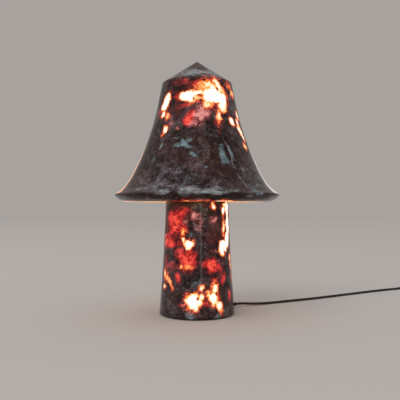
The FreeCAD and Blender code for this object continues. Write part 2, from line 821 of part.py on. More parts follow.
def bridge():
    """Bridge on the base plate that holds the lower lampholder, with its nipple, nut and screws."""
    half, foot, thick = S["bridge_length"] / 2, S["bridge_foot"], S["bridge_thickness"]
    low, top = PLATE_TOP, PLATE_TOP + S["bridge_rise"]
    steps = [
        ("line", foot - half, low), ("line", foot - half, top - thick), ("line", half - foot, top - thick),
        ("line", half - foot, low), ("line", half, low), ("line", half, low + thick),
        ("line", half - foot + thick, low + thick), ("line", half - foot + thick, top),
        ("line", foot - half - thick, top), ("line", foot - half - thick, low + thick),
        ("line", -half, low + thick),
    ]
    centre = -S["lower_offset"]
    strip = slab("bridge_strip", (-half, low), steps, S["bridge_width"], (0, centre, 0),
                 role="XZ_Plane", middle=True)
    holes = [pillar("bridge_bore", S["rod_radius"] + S["hole_gap"], thick, (0, centre, top - thick))]
    screws = []
    for index, side in enumerate((-0.5, 0.5)):
        across = (S["bridge_length"] - foot) * side
        holes.append(pillar("bridge_screw_hole_%d" % index, SCREW_HOLE, thick, (across, centre, low)))
        screws.append(screw("bridge_screw_%d" % index,
                            low + thick + S["screw_head_height"], S["cavity_height"],
                            (across, centre, 0), False))
    node("lower_bridge", cut("bridge", strip, holes))
    node("bridge_screws", group("bridge_screw_pair", screws))
    nut_low = top - thick - S["nut_height"]
    node("lower_nipple", ring("nipple", S["rod_radius"], S["rod_bore"], nut_low - S["washer_thickness"] * 2,
                              top + S["rod_entry"], (0, centre, 0)))
    node("lower_nut",
         hexagon("nipple_nut", S["nut_width"], S["rod_radius"] + S["thread_gap"], S["nut_height"],
                 (0, centre, nut_low)))


# Cord at the foot, and wiring


def bent_path(label, points, bend=None):
    """Straight runs joined by tangent arcs. Without a bend, each arc is as large as its runs allow."""
    points = [Vector(*point) for point in points]
    edges = []
    radii = []
    reached = points[0]
    for before, corner, after in zip(points, points[1:], points[2:]):
        back, ahead = before - corner, after - corner
        half_turn = (math.pi - back.getAngle(ahead)) / 2
        reach = [0.45 * back.Length, 0.45 * ahead.Length]
        if bend and before == points[0]:
            reach[0] *= 2
        if bend and after == points[-1]:
            reach[1] *= 2
        cutback = min(reach)
        radius = cutback / math.tan(half_turn)
        if bend and radius > bend:
            radius = bend
            cutback = radius * math.tan(half_turn)
        radii.append(radius)
        first = corner + back.normalize() * cutback
        last = corner + ahead.normalize() * cutback
        inward = ((first + last) * 0.5 - corner).normalize()
        middle = corner + inward * (radius / math.cos(half_turn) - radius)
        edges.append(Part.LineSegment(reached, first).toShape())
        edges.append(Part.Arc(first, middle, last).toShape())
        reached = last
    edges.append(Part.LineSegment(reached, points[-1]).toShape())
    path = Part.Wire(edges)
    if not bend:
        text = " ".join("%.0f" % radius for radius in radii)
        print("%s: length %.1f, radii %s" % (label, path.Length, text))
    return path


def sweep(label, path, start, heading, radius):
    """Round tube along a path, with its volume compared with its section times its length."""
    circle = Part.Wire(Part.makeCircle(radius, start, heading))
    solid = path.makePipeShell([circle], True, False)
    expected = math.pi * radius * radius * path.Length
    if abs(solid.Volume / expected - 1) > 0.01:
        print("%s: volume %.1f, expected %.1f" % (label, solid.Volume, expected))
    return solid


def tube(label, points, radius, bend=None):
    """Round tube along a route."""
    start = Vector(*points[0])
    return sweep(label, bent_path(label, points, bend), start, Vector(*points[1]) - start, radius)


def cord_entry():
    """Strain relief in the foot's notch, bushing, grip, and the cord's inner end."""
    bore = S["cord_radius"] + S["cord_gap"]
    neck = S["notch_width"] / 2
    start, flange = S["stem_foot_radius"] + S["relief_gap"], S["relief_flange_radius"]
    steps = [
        ("line", neck, S["relief_tail"]), ("line", neck, start), ("line", flange, start),
        ("line", flange, start + S["relief_flange_thickness"]),
        ("line", S["relief_root_radius"], start + S["relief_flange_thickness"]),
        ("line", S["relief_tip_radius"], S["relief_end"]), ("line", bore, S["relief_end"]),
    ]
    relief = lathe("relief", (bore, S["relief_tail"]), steps, (0, 0, S["exit_height"]), OUT_OF_FOOT)
    node("cord_strain_relief", relief)
    under, top, lip = S["cavity_height"], PLATE_TOP, S["bushing_flange_thickness"]
    bushing_steps = [
        ("line", S["bushing_radius"], under), ("line", S["bushing_radius"], top),
        ("line", S["bushing_flange"], top),
        ("line", S["bushing_flange"], top + lip), ("line", S["bushing_bore"], top + lip),
    ]
    node("plate_bushing", lathe("bushing", (S["bushing_bore"], under), bushing_steps,
                                exit_place(S["bushing_distance"], 0, 0)))
    drop, grip_low = S["grip_drop"], S["cavity_height"] - S["grip_drop"]
    bar = block("grip_bar", S["grip_width"], S["grip_length"], drop,
                exit_place(S["grip_distance"] - S["grip_width"] / 2, S["grip_length"] / -2, grip_low),
                TURN_TO_EXIT)
    holes = [pillar("grip_cord_hole", bore, S["grip_width"],
                    exit_place(S["grip_distance"] - S["grip_width"] / 2, 0, S["exit_height"]), OUT_OF_FOOT)]
    screws = []
    for index, side in enumerate((-0.5, 0.5)):
        spot = exit_place(S["grip_distance"], S["grip_screw_spacing"] * side, 0)
        holes.append(pillar("grip_screw_hole_%d" % index, SCREW_HOLE, drop, spot[:2] + (grip_low,)))
        holes.append(pillar("grip_head_hole_%d" % index, S["screw_head_radius"] + S["hole_gap"],
                            S["screw_head_height"], spot[:2] + (grip_low,)))
        screws.append(screw("grip_screw_%d" % index, grip_low, top, spot, True))
    node("cord_grip", cut("grip", bar, holes))
    node("grip_screws", group("grip_screw_pair", screws))
    far = S["cord_turn_distance"] - S["cord_turn_radius"]
    inner = [(S["relief_end"], S["exit_height"]), (far, S["exit_height"]), (far, S["sheath_end_height"])]
    points = [tuple(EXIT_WAY * distance.value + Vector(0, 0, height.value)) for distance, height in inner]
    solid = tube("inner cord", points, S["cord_radius"].value, S["cord_turn_radius"].value)
    node("inner_cord", feature("inner_cord_tube", solid))


def terminal_block():
    """Two-way terminal block with brass inserts, clamping screws and one fixing screw."""
    across, along, low = S["block_across"], S["block_along"], PLATE_TOP
    body = block("block_body", S["block_width"], S["block_length"], S["block_height"],
                 (across - S["block_width"] / 2, along - S["block_length"] / 2, low))
    insert_height = low + S["insert_height"]
    seat = insert_height + S["insert_radius"]
    top = low + S["block_height"]
    holes = [pillar("block_fix_hole", SCREW_HOLE, S["block_height"], (across, along, low)),
             pillar("block_fix_recess", S["screw_head_radius"] + S["hole_gap"], top - seat,
                    (across, along, seat))]
    inserts = []
    screws = []
    for index, side in enumerate((-0.5, 0.5)):
        line = across + S["block_pitch"] * side
        start = (line, along - S["block_length"] / 2, insert_height)
        holes.append(pillar("insert_hole_%d" % index, S["insert_radius"], S["block_length"], start, ALONG_Y))
        outer = pillar("insert_bar_%d" % index, S["insert_radius"], S["block_length"], start, ALONG_Y)
        inner = pillar("insert_bore_%d" % index, S["insert_bore"], S["block_length"], start, ALONG_Y)
        inserts.append(cut("insert_%d" % index, outer, [inner]))
        for row, reach in enumerate((-0.28, 0.28)):
            spot = (line, along + S["block_length"] * reach, seat)
            label = "%d_%d" % (index, row)
            holes.append(pillar("clamp_hole_" + label, SCREW_HOLE, top - seat, spot))
            screws.append(pillar("clamp_screw_" + label, S["screw_radius"], top - seat - 0.5, spot))
    node("terminal_block", cut("terminal_body", body, holes))
    node("terminal_inserts", group("insert_pair", inserts))
    node("terminal_screws", group("clamp_screws", screws))
    node("block_screw", screw("block_fixing", seat + S["screw_head_height"], S["cavity_height"],
                              (across, along, 0), False))


def wires():
    """Insulated wires: from the cord to the block, and from the block to both lampholders."""
    radius, bend = S["wire_radius"].value, S["wire_bend"].value
    across, along = S["block_across"].value, S["block_along"].value
    pitch, reach = S["block_pitch"].value / 2, S["block_length"].value / 2
    level = PLATE_TOP.value + S["insert_height"].value
    high, low = level + S["wire_stack"].value, level - S["wire_stack"].value
    back, front = along + reach, along - reach
    sheath = EXIT_WAY * (S["cord_turn_distance"].value - S["cord_turn_radius"].value)
    sheath_end = S["sheath_end_height"].value
    side = S["cord_radius"].value / 2
    step, slack, stagger = S["wire_step"].value, S["wire_slack"].value, S["wire_stagger"].value
    cores = []
    for index, sign in enumerate((1, -1)):
        line = across + pitch * sign
        start = (sheath.x - side * sign, sheath.y, sheath_end)
        rise, out = sheath_end + slack + step * index, back + slack + step * (index + 1)
        cores.append(tube("core", [start, start[:2] + (rise,),
                                   (bend, back + bend + step * index, rise + radius),
                                   (line, out, rise - bend), (line, out, level),
                                   (line, back - stagger, level)],
                          radius, bend))
    upper = []
    lower = []
    bore_side = S["rod_bore"].value * 0.36
    window = S["rod_window_height"].value + S["rod_window_length"].value / 2
    top = UPPER_HOLDER.value + S["core_base"].value
    centre = -S["lower_offset"].value
    nipple_top = PLATE_TOP.value + S["bridge_rise"].value + S["core_base"].value
    under = PLATE_TOP.value + radius + S["wire_gap"].value
    for index, sign in enumerate((1, -1)):
        line = across + pitch * sign
        height = window - stagger * 0.8 * sign
        upper.append(tube("upper wire", [
            (line, front + step, high), (line, front - slack - step * index, high),
            (-S["holder_radius"].value - stagger * index, -bore_side * sign, height),
            (0, -bore_side * sign, height), (0, -bore_side * sign, top)], radius, bend))
    turns = [
        [(across + step * 4.5, centre + step * 3.5, low - stagger), (-bore_side, centre + step * 1.7, under)],
        [(across + step, centre + step * 3.5, low + stagger),
         (across + step * 4.7, centre + step * 3, low + radius),
         (bore_side, centre + step * 2, under + radius)],
    ]
    for index, sign in enumerate((1, -1)):
        line = across + pitch * sign
        route = [(line, front + step, low), (line, front - slack + radius * (1 - index), low)] + turns[index]
        route += [(-bore_side * sign, centre, under), (-bore_side * sign, centre, nipple_top)]
        lower.append(tube("lower wire", route, radius, bend))
    node("cord_cores", feature("core_pair", Part.makeCompound(cores)))
    node("upper_wires", feature("upper_wire_pair", Part.makeCompound(upper)))
    node("lower_wires", feature("lower_wire_pair", Part.makeCompound(lower)))


# In-line switch, on its own axes: +X along the cord, +Z up, from the face that the lamp's cord enters


def switch_frame():
    """Where the switch starts, and the angle in degrees that it points along."""
    before, start = Vector(*LAMP_CORD_ROUTE[-2]), Vector(*LAMP_CORD_ROUTE[-1])
    heading = math.degrees(math.atan2(start.y - before.y, start.x - before.x))
    return (start.x, start.y, 0), heading


def case_half(label, low, high, inside_low, inside_high):
    """Half of the switch's case as a tray: a long eight-cornered outline with soft outer edges."""
    length, wide, narrow = S["switch_length"], S["switch_width"] / 2, S["switch_end_width"] / 2
    waist = (wide + narrow) / 2 - 0.5
    runs = (length / 6, length / 4)

    def outline(inset):
        end, side = inset, inset * 1.1
        return [
            (length - end, side - narrow), (length - end, narrow - side), (length - runs[0], waist - side),
            (length - runs[1], wide - side), (runs[1], wide - side), (runs[0], waist - side),
            (end, narrow - side), (end, side - narrow), (runs[0], side - waist),
            (runs[1], side - wide), (length - runs[1], side - wide),
            (length - runs[0], side - waist),
        ]

    corners = outline(number(0))
    outer = slab(label + "_outer", corners[0], [("line",) + corner for corner in corners[1:]], high - low,
                 (0, 0, low))
    doc.recompute()
    pad = outer.Tip
    far_face = high.value - low.value if inside_low.value <= low.value else 0.0
    edges = []
    for index, edge in enumerate(pad.Shape.Edges, start=1):
        heights = [vertex.Z - low.value * (pad.Shape.BoundBox.ZMin > 0.01) for vertex in edge.Vertexes]
        if all(abs(height - far_face) < 1e-6 for height in heights):
            edges.append("Edge%d" % index)
    rounding = outer.newObject("PartDesign::Fillet", label + "_rounding")
    rounding.Base = (pad, edges)
    bind(rounding, "Radius", S["switch_edge"])
    corners = outline(S["switch_wall"])
    inner = slab(label + "_inner", corners[0], [("line",) + corner for corner in corners[1:]],
                 inside_high - inside_low, (0, 0, inside_low))
    return outer, inner


def switch():
    """In-line switch: two case halves, rocker on a pin, contacts, leads and two screws."""
    place, heading = switch_frame()
    lie = FreeCAD.Placement(Vector(*place), FreeCAD.Rotation(Vector(0, 0, 1), heading))
    length, split, top, wall = S["switch_length"], S["switch_split"], S["switch_height"], S["switch_wall"]
    middle, ceiling = length / 2, top - wall
    boss_reach = S["switch_width"] / 2 - S["screw_head_radius"] - S["hole_gap"] - 0.75
    bosses = ((length * 0.28, boss_reach), (length * 0.72, -boss_reach))
    boss = S["screw_head_radius"] + S["hole_gap"] * 2
    bore = S["cord_radius"] + S["cord_gap"]

    outer, inner = case_half("switch_low", number(0), split, wall, split)
    tools = [pillar("low_cord_hole", bore, length, (0, 0, split), ALONG_X)]
    posts = [cut("low_tray", outer, [inner])]
    for index, (across, along) in enumerate(bosses):
        posts.append(pillar("low_boss_%d" % index, boss, split, (across, along, 0)))
        tools.append(pillar("low_screw_%d" % index, SCREW_HOLE, split, (across, along, 0)))
        tools.append(pillar("low_head_%d" % index, S["screw_head_radius"] + S["hole_gap"],
                            S["screw_head_height"], (across, along, 0)))
    lower = cut("switch_lower", joined("low_posts", posts), tools)

    outer, inner = case_half("switch_high", split, top, split, ceiling)
    pin_level, pin = S["rocker_pin_height"], S["rocker_pin_radius"]
    gap, width = S["rocker_gap"], S["rocker_width"]
    lug_depth = gap * 6
    window = block("rocker_window", S["rocker_length"] + gap * 4, width + gap * 2, wall * 2,
                   (middle - S["rocker_length"] / 2 - gap * 2, width / -2 - gap, top - wall * 1.5))
    tools = [pillar("high_cord_hole", bore, length, (0, 0, split), ALONG_X)]
    lugs = []
    for index, side in enumerate((-1, 1)):
        near = width / 2 + gap
        start = near if side > 0 else -near - lug_depth
        lugs.append(block("lug_%d" % index, pin * 5, lug_depth, ceiling - pin_level + pin * 2,
                          (middle - pin * 2.5, start, pin_level - pin * 2)))
    posts = [cut("high_tray", outer, [inner, window])] + lugs
    for index, (across, along) in enumerate(bosses):
        posts.append(pillar("high_boss_%d" % index, boss, ceiling - split, (across, along, split)))
        tools.append(pillar("high_screw_%d" % index, S["screw_radius"], (ceiling - split) * 0.8,
                            (across, along, split)))
    pin_length = width + gap * 2 + lug_depth * 2
    tools.append(pillar("pin_hole", pin, pin_length, (middle, pin_length / -2, pin_level), ALONG_Y))
    upper = cut("switch_upper", joined("high_posts", posts), tools)

    half = S["rocker_length"] / 2
    rise, dip, skirt, foot = 3.2, 2.2, -1.0, -2.8
    rocker = slab("rocker_slab", (-half, skirt), [
        ("line", -2.4, skirt), ("line", -1.6, foot), ("line", 1.6, foot), ("line", 2.4, skirt),
        ("line", half, skirt), ("line", half, rise), ("line", 0, dip), ("line", -half, rise)],
        width, role="XZ_Plane", middle=True)
    bearing = pillar("rocker_bore", pin + S["rocker_pin_gap"], width, (0, width / -2, 0), ALONG_Y)
    rocker = cut("rocker", rocker, [bearing])
    tilt = FreeCAD.Rotation(Vector(0, 1, 0), SIZES["rocker_tilt"])
    pin_bar = pillar("pin_bar", pin, pin_length, (middle, pin_length / -2, pin_level), ALONG_Y)

    strips = []
    thin = S["contact_thickness"]
    for index, side in enumerate((1, -1)):
        near, far = 3.0 * side, 13.0 * side
        steps = [("line", far, 0), ("line", far, 5.2), ("line", far - 0.5 * side, 5.2),
                 ("line", far - 0.5 * side, thin), ("line", near, thin)]
        strips.append(slab("strip_%d" % index, (near, 0), steps, S["contact_width"], (middle, -3, wall),
                           role="XZ_Plane", middle=True))

    screws = [screw("case_screw_%d" % index, number(0), split + (ceiling - split) * 0.7,
                    (across, along, 0), True)
              for index, (across, along) in enumerate(bosses)]
    doc.recompute()

    radius, bend, level = S["wire_radius"].value, S["wire_bend"].value, split.value
    long, centre = length.value, length.value / 2
    stub, step, inset = S["wire_slack"].value, S["wire_step"].value, radius + S["hole_gap"].value
    leads = [Part.makeCylinder(S["cord_radius"].value, stub, Vector(0, 0, level), Vector(1, 0, 0)),
             Part.makeCylinder(S["cord_radius"].value, stub, Vector(long - stub, 0, level), Vector(1, 0, 0))]
    low, past = level - S["wire_stagger"].value, centre / 4.4
    lane = S["rocker_width"].value / 2 + S["rocker_gap"].value + radius * 0.8
    through = [(stub, inset, level), (stub + bend, inset, level), (centre - past, lane, low),
               (centre + past, lane, low), (long - stub - bend, inset, level), (long - stub, inset, level)]
    leads.append(tube("through lead", through, radius, bend))
    for side in (-1, 1):
        end = centre + side * (centre - stub)
        contact = centre + side * 13.0
        leads.append(tube("switched lead", [
            (end, -inset, level), (end - side * step, -inset, level), (contact + side * step, -step, low),
            (contact, -step, low)], radius, bend / 2))

    for name, item in (("switch_lower_case", lower), ("switch_upper_case", upper),
                       ("switch_rocker_pin", pin_bar),
                       ("switch_contacts", group("strips", strips)),
                       ("switch_screws", group("case_screws", screws))):
        holder_item = group(name + "_in_place", [item])
        holder_item.Placement = lie
        node(name, holder_item)
    rocker_item = group("rocker_in_place", [rocker])
    rocker_item.Placement = lie.multiply(FreeCAD.Placement(
        Vector(middle.value, 0, pin_level.value), tilt))
    node("switch_rocker", rocker_item)
    node("switch_leads", feature("switch_lead_set", Part.makeCompound(leads), lie))


# Free cords, coil and tie


def free_cords():
    """The cord from the foot to the switch, and from the switch to the coil."""
    radius = S["cord_radius"].value
    node("lamp_cord", feature("lamp_cord_tube", tube("lamp cord", LAMP_CORD_ROUTE, radius)))
    node("coil_cord", feature("coil_cord_tube", tube("coil cord", COIL_CORD_ROUTE, radius)))


def coil_levels():
    """Heights of the coil's lower and upper layer."""
    lower = S["tie_thickness"] + 0.3 + S["cord_radius"]
    return lower, lower + S["cord_radius"] * 2 + S["coil_layer_gap"]


def coil_centre():
    """The coil's centre: its outer turn is met by the free cord's last straight run."""
    landing = Vector(*COIL_CORD_ROUTE[-1])
    return Vector(landing.x - S["coil_start_radius"].value, landing.y - S["coil_entry_length"].value, 0)


def coil_point(turn):
    """A place on the coil and its direction, after a number of turns, clockwise seen from above."""
    lower, upper = [level.value for level in coil_levels()]
    pitch = S["cord_radius"].value * 2 + S["coil_gap"].value
    half = COIL_TURNS / 2
    start, middle = S["coil_start_radius"].value, coil_centre()
    radius = start - pitch * (half - abs(half - turn))
    growth = -pitch if turn < half else pitch
    if turn in (0, half, COIL_TURNS):
        growth = 0.0
    step = min(max((turn - half + 0.25) / 0.5, 0.0), 1.0)
    height = lower + (upper - lower) * step * step * (3 - 2 * step)
    climb = (upper - lower) * 6 * step * (1 - step) / 0.5
    angle = -2 * math.pi * turn
    out = Vector(math.cos(angle), math.sin(angle), 0)
    ahead = Vector(math.sin(angle), -math.cos(angle), 0)
    return middle + out * radius + Vector(0, 0, height), \
        (ahead * (2 * math.pi * radius) + out * growth + Vector(0, 0, climb)).normalize()


def coil_end():
    """Where the cord leaves the coil for the plug."""
    return coil_point(COIL_TURNS)[0] - Vector(0, S["coil_exit_length"].value, 0)


def double_arc(first, first_way, last, last_way):
    """Two arcs that meet smoothly and leave and reach two points in given directions."""
    across = last - first
    both = first_way + last_way
    spread = 2 * (1 - first_way.dot(last_way))
    reach = (-across.dot(both) + math.sqrt(across.dot(both) ** 2 + spread * across.dot(across))) / spread
    corners = (first + first_way * reach, last - last_way * reach)
    joint = (corners[0] + corners[1]) * 0.5
    arcs = []
    for start, corner, end in ((first, corners[0], joint), (joint, corners[1], last)):
        chord = (end - start) * 0.5
        away = corner - (start + end) * 0.5
        angle = math.atan2(away.Length, chord.Length)
        middle = (start + end) * 0.5 + away.normalize() * chord.Length * math.tan(angle / 2)
        arcs.append(Part.Arc(start, middle, end))
    return arcs


def coil():
    """The cord's put-away loops: in on the lower layer, up, and out on the upper one."""
    arcs = []
    places = [turn / 4 for turn in range(COIL_TURNS * 4 + 1)]
    for first, last in zip(places, places[1:]):
        start, start_way = coil_point(first)
        end, end_way = coil_point(last)
        arcs += double_arc(start, start_way, end, end_way)
    landing = Vector(*COIL_CORD_ROUTE[-1])
    entry, leaving = coil_point(0)[0], coil_point(COIL_TURNS)[0]
    edges = [Part.LineSegment(landing, entry).toShape()]
    edges += [arc.toShape() for arc in arcs]
    edges.append(Part.LineSegment(leaving, coil_end()).toShape())
    path = Part.Wire(edges)
    radius = S["cord_radius"].value
    node("cord_coil", feature("coil_tube", sweep("coil", path, landing, entry - landing, radius)))
    marks = []
    travelled = 0.0
    for edge in edges:
        count = max(2, int(edge.Length / 1.0))
        marks += [(travelled + edge.Length * step / count, edge.valueAt(
            edge.getParameterByLength(edge.Length * step / count))) for step in range(count)]
        travelled += edge.Length
    least = min((one[1] - other[1]).Length for index, one in enumerate(marks) for other in marks[index:]
                if other[0] - one[0] > radius * 10)
    print("coil: length %.0f, least gap to itself %.2f" % (path.Length, least - 2 * radius))


def tie():
    """Strap round the bundle, at the side of the coil away from the plug."""
    radius, gap, thick, width = S["cord_radius"], S["tie_gap"], S["tie_thickness"], S["tie_width"]
    pitch = radius * 2 + S["coil_gap"]
    outermost = S["coil_start_radius"] - pitch * 0.5 + radius + gap
    innermost = S["coil_start_radius"] - pitch * (COIL_TURNS / 2 - 0.5) - radius - gap
    upper = coil_levels()[1]
    middle = coil_centre()
    across, along = middle.x - outermost, middle.y - width / 2
    outer = block("tie_outer", outermost - innermost + thick * 2, width, upper + radius + gap + thick,
                  (across - thick, along, 0))
    inner = block("tie_inner", outermost - innermost, width, upper + radius + gap - thick,
                  (across, along, thick))
    node("cord_tie", cut("tie", outer, [inner]))


# Plug, on its own axes: it points along -Y


def plug():
    """Two-pin plug: moulded body with a ribbed cord relief, and two sleeved pins."""
    start, level = coil_end(), coil_levels()[1]
    ahead = FreeCAD.Rotation(Vector(0, 0, 1), Vector(0, -1, 0))
    relief, length = S["plug_relief_length"], S["plug_length"]
    rib = relief / 6
    bore = S["cord_radius"] + S["cord_gap"]
    wide, slim = S["relief_root_radius"], S["cord_radius"] * 1.3
    steps = [("line", slim, 0)]
    for index in range(5):
        swell = slim + (wide - slim) * (index / 5)
        steps += [("line", swell, rib * (index + 0.7)), ("line", swell - 0.5, rib * (index + 0.7)),
                  ("line", swell - 0.5, rib * (index + 1))]
    steps += [("line", wide, rib * 5), ("line", wide, relief), ("line", bore, relief)]
    node("plug_relief", lathe("plug_sleeve", (bore, 0), steps, tuple(start), ahead))
    tail, broad = S["plug_tail_width"] / 2, S["plug_width"] / 2
    thick, edge = S["plug_thickness"], S["plug_edge"]
    steps = [("line", tail, 0), ("line", broad, length * 0.55), ("line", broad, length),
             ("line", -broad, length), ("line", -broad, length * 0.55)]
    body = slab("plug_slab", (-tail, 0), steps, thick, (0, 0, 0), middle=True)
    doc.recompute()
    pad = body.Tip
    half = thick.value / 2
    edges = ["Edge%d" % index for index, item in enumerate(pad.Shape.Edges, start=1)
             if all(abs(abs(vertex.Z) - half) < 1e-6 for vertex in item.Vertexes)
             and abs(item.Vertexes[0].Z - item.Vertexes[-1].Z) < 1e-6]
    rounding = body.newObject("PartDesign::Fillet", "plug_rounding")
    rounding.Base = (pad, edges)
    bind(rounding, "Radius", edge)
    pins = []
    sleeves = []
    for index, side in enumerate((-0.5, 0.5)):
        across = S["pin_spacing"] * side
        core, sleeve = S["pin_core_radius"], S["pin_sleeve_length"]
        steps = [("line", core, length), ("line", core, length + sleeve),
                 ("line", S["pin_radius"], length + sleeve),
                 ("line", S["pin_radius"], length + S["pin_length"] - 1),
                 ("line", S["pin_radius"] - 1, length + S["pin_length"]),
                 ("line", 0, length + S["pin_length"])]
        pins.append(lathe("pin_%d" % index, (0, length), steps, (across, 0, 0), BACKWARD))
        inset = S["pin_sleeve_inset"]
        steps = [("line", S["pin_radius"] - inset / 2, length),
                 ("line", S["pin_radius"] - inset, length + sleeve),
                 ("line", core, length + sleeve)]
        sleeves.append(lathe("pin_sleeve_%d" % index, (core, length), steps, (across, 0, 0), BACKWARD))
    lie = FreeCAD.Placement(Vector(start.x, start.y - relief.value, level.value),
                            FreeCAD.Rotation(Vector(0, 0, 1), 180))
    for name, items in (("plug_body", [body]), ("plug_pins", pins), ("plug_pin_sleeves", sleeves)):
        item = group(name + "_in_place", items)
        item.Placement = lie
        node(name, item)


BACKWARD = FreeCAD.Rotation(Vector(1, 0, 0), -90)

LAMPS = {"upper": (0, 0, UPPER_HOLDER),
         "lower": (0, -S["lower_offset"], PLATE_TOP + S["bridge_rise"])}

shade()
stem()
base_plate()
head_plate()
rod()
rod_fasteners()
carrier()
for lamp, spot in LAMPS.items():
    holder(lamp, spot)
globe_bulb("upper", LAMPS["upper"])
tube_bulb("lower", LAMPS["lower"])
bridge()
cord_entry()
terminal_block()
wires()
switch()
free_cords()
coil()
tie()
plug()
doc.recompute()

faulty = [item.Label for item in doc.Objects if set(item.State) & {"Invalid", "Error"}]
for name, item in nodes.items():
    if item.Shape.isNull() or not item.Shape.isValid() or not item.Shape.Solids:
        faulty.append(name + " (shape)")
if faulty:
    raise RuntimeError("not built: " + ", ".join(faulty))

os.makedirs("parts", exist_ok=True)
for name, item in nodes.items():
    item.Shape.exportStep("parts/%s.step" % name)
print("%d sub-parts written" % len(nodes))
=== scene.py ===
"""Looks of a mushroom table lamp: a bell shade on a tapered stem, both of dark onyx marble, lit from inside.

Metres, +Z up, the same frame as the CAD model. Names of values in mm end in _MM, or a comment says so.
Azimuths are degrees from the front (-Y), towards the right (+X).
"""
import json
import math

import bpy
import numpy as np
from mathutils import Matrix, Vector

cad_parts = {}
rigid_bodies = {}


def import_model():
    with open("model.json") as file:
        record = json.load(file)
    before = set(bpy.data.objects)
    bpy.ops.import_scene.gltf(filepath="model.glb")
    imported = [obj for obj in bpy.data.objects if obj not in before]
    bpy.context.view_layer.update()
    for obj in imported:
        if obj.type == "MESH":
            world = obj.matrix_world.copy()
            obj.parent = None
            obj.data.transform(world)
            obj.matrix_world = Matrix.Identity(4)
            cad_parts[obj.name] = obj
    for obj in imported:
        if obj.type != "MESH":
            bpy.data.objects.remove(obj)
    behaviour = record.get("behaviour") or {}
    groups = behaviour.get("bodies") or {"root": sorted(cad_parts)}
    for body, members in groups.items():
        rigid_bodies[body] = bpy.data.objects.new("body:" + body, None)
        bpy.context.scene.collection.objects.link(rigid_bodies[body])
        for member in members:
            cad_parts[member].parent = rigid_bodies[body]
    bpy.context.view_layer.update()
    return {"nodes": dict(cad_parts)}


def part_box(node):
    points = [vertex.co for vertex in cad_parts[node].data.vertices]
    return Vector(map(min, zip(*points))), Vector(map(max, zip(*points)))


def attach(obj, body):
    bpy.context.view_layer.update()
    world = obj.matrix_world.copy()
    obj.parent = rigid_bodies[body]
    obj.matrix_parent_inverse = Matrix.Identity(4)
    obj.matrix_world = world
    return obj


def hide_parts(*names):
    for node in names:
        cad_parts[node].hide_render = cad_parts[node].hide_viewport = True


for default_object in list(bpy.data.objects):
    bpy.data.objects.remove(default_object)

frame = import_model()
NODES = frame["nodes"]
MM = 0.001

# Camera: level with the shade's rim, 839 mm in front of the lamp's axis, tilted up by about half a degree
CAMERA_PLACE = (0.0045, -0.83907, 0.16184)
CAMERA_TILT = 0.62
CAMERA_LENS_MM = 49.95

camera_data = bpy.data.cameras.new("camera")
camera_data.sensor_width = 36.0
camera_data.lens = CAMERA_LENS_MM
camera_data.clip_start = 0.01
camera = bpy.data.objects.new("camera", camera_data)
camera.location = CAMERA_PLACE
camera.rotation_euler = (math.radians(90 + CAMERA_TILT), 0, 0)
bpy.context.scene.collection.objects.link(camera)
bpy.context.scene.camera = camera


# Materials


def linear(colour):
    """Linear RGBA of an sRGB hex value."""
    channels = [int(colour[place:place + 2], 16) / 255 for place in (1, 3, 5)]
    return tuple(c / 12.92 if c <= 0.04045 else ((c + 0.055) / 1.055) ** 2.4 for c in channels) + (1.0,)


def fill(tree, node, **values):
    """Links or sets the node's inputs.

    A name in values is the input's name in lower case with _ for a space, or i and its number."""
    for name, value in values.items():
        if name[0] == "i" and name[1:].isdigit():
            socket = node.inputs[int(name[1:])]
        else:
            socket = next(item for item in node.inputs if item.name.lower().replace(" ", "_") == name)
        if isinstance(value, bpy.types.NodeSocket):
            tree.links.new(value, socket)
        elif isinstance(value, str):
            socket.default_value = linear(value)
        else:
            socket.default_value = value


def add(tree, kind, settings=None, **values):
    """A node of that kind, with its settings, and with its inputs linked or set."""
    node = tree.nodes.new("ShaderNode" + kind)
    for name, value in (settings or {}).items():
        setattr(node, name, value)
    fill(tree, node, **values)
    return node


def ramp(tree, factor, stops):
    """Colours along a factor. A stop is its place and its hex colour."""
    node = add(tree, "ValToRGB", i0=factor)
    elements = node.color_ramp.elements
    while len(elements) < len(stops):
        elements.new(0.5)
    for element, (place, colour) in zip(elements, stops):
        element.position = place
        element.color = linear(colour)
    return node.outputs["Color"]


def sums(tree, operation, first, second, clamp=False):
    """Two numbers put together by a Math node."""
    return add(tree, "Math", {"operation": operation, "use_clamp": clamp}, i0=first, i1=second).outputs[0]


def mixed(tree, factor, low, high, blend="MIX"):
    """Two colours mixed by a factor."""
    settings = {"data_type": "RGBA", "blend_type": blend}
    return add(tree, "Mix", settings, i0=factor, i6=low, i7=high).outputs[2]


def spread(tree, factor, low, high, to_low=0.0, to_high=1.0):
    """A number carried from one range to another and kept within it."""
    return add(tree, "MapRange", {"clamp": True}, value=factor, from_min=low, from_max=high,
               to_min=to_low, to_max=to_high).outputs[0]


def new_material(name):
    """An empty material with its tree, and its shader joined to the output."""
    material = bpy.data.materials.new(name)
    material.use_nodes = True
    tree = material.node_tree
    tree.nodes.clear()
    shader = add(tree, "BsdfPrincipled")
    add(tree, "OutputMaterial", surface=shader.outputs[0])
    return material, tree, shader


def grain(tree, size_mm, detail=3.0, roughness=0.5, stretch=(1, 1, 1), place=None):
    """Cloudy pattern whose clouds are about that many millimetres across, 0.5 in the middle of its range."""
    place = place or add(tree, "TexCoord").outputs["Object"]
    if stretch != (1, 1, 1):
        place = add(tree, "Mapping", vector=place, scale=stretch).outputs[0]
    return add(tree, "TexNoise", vector=place, scale=1 / (size_mm * MM), detail=detail,
               roughness=roughness).outputs["Fac"]


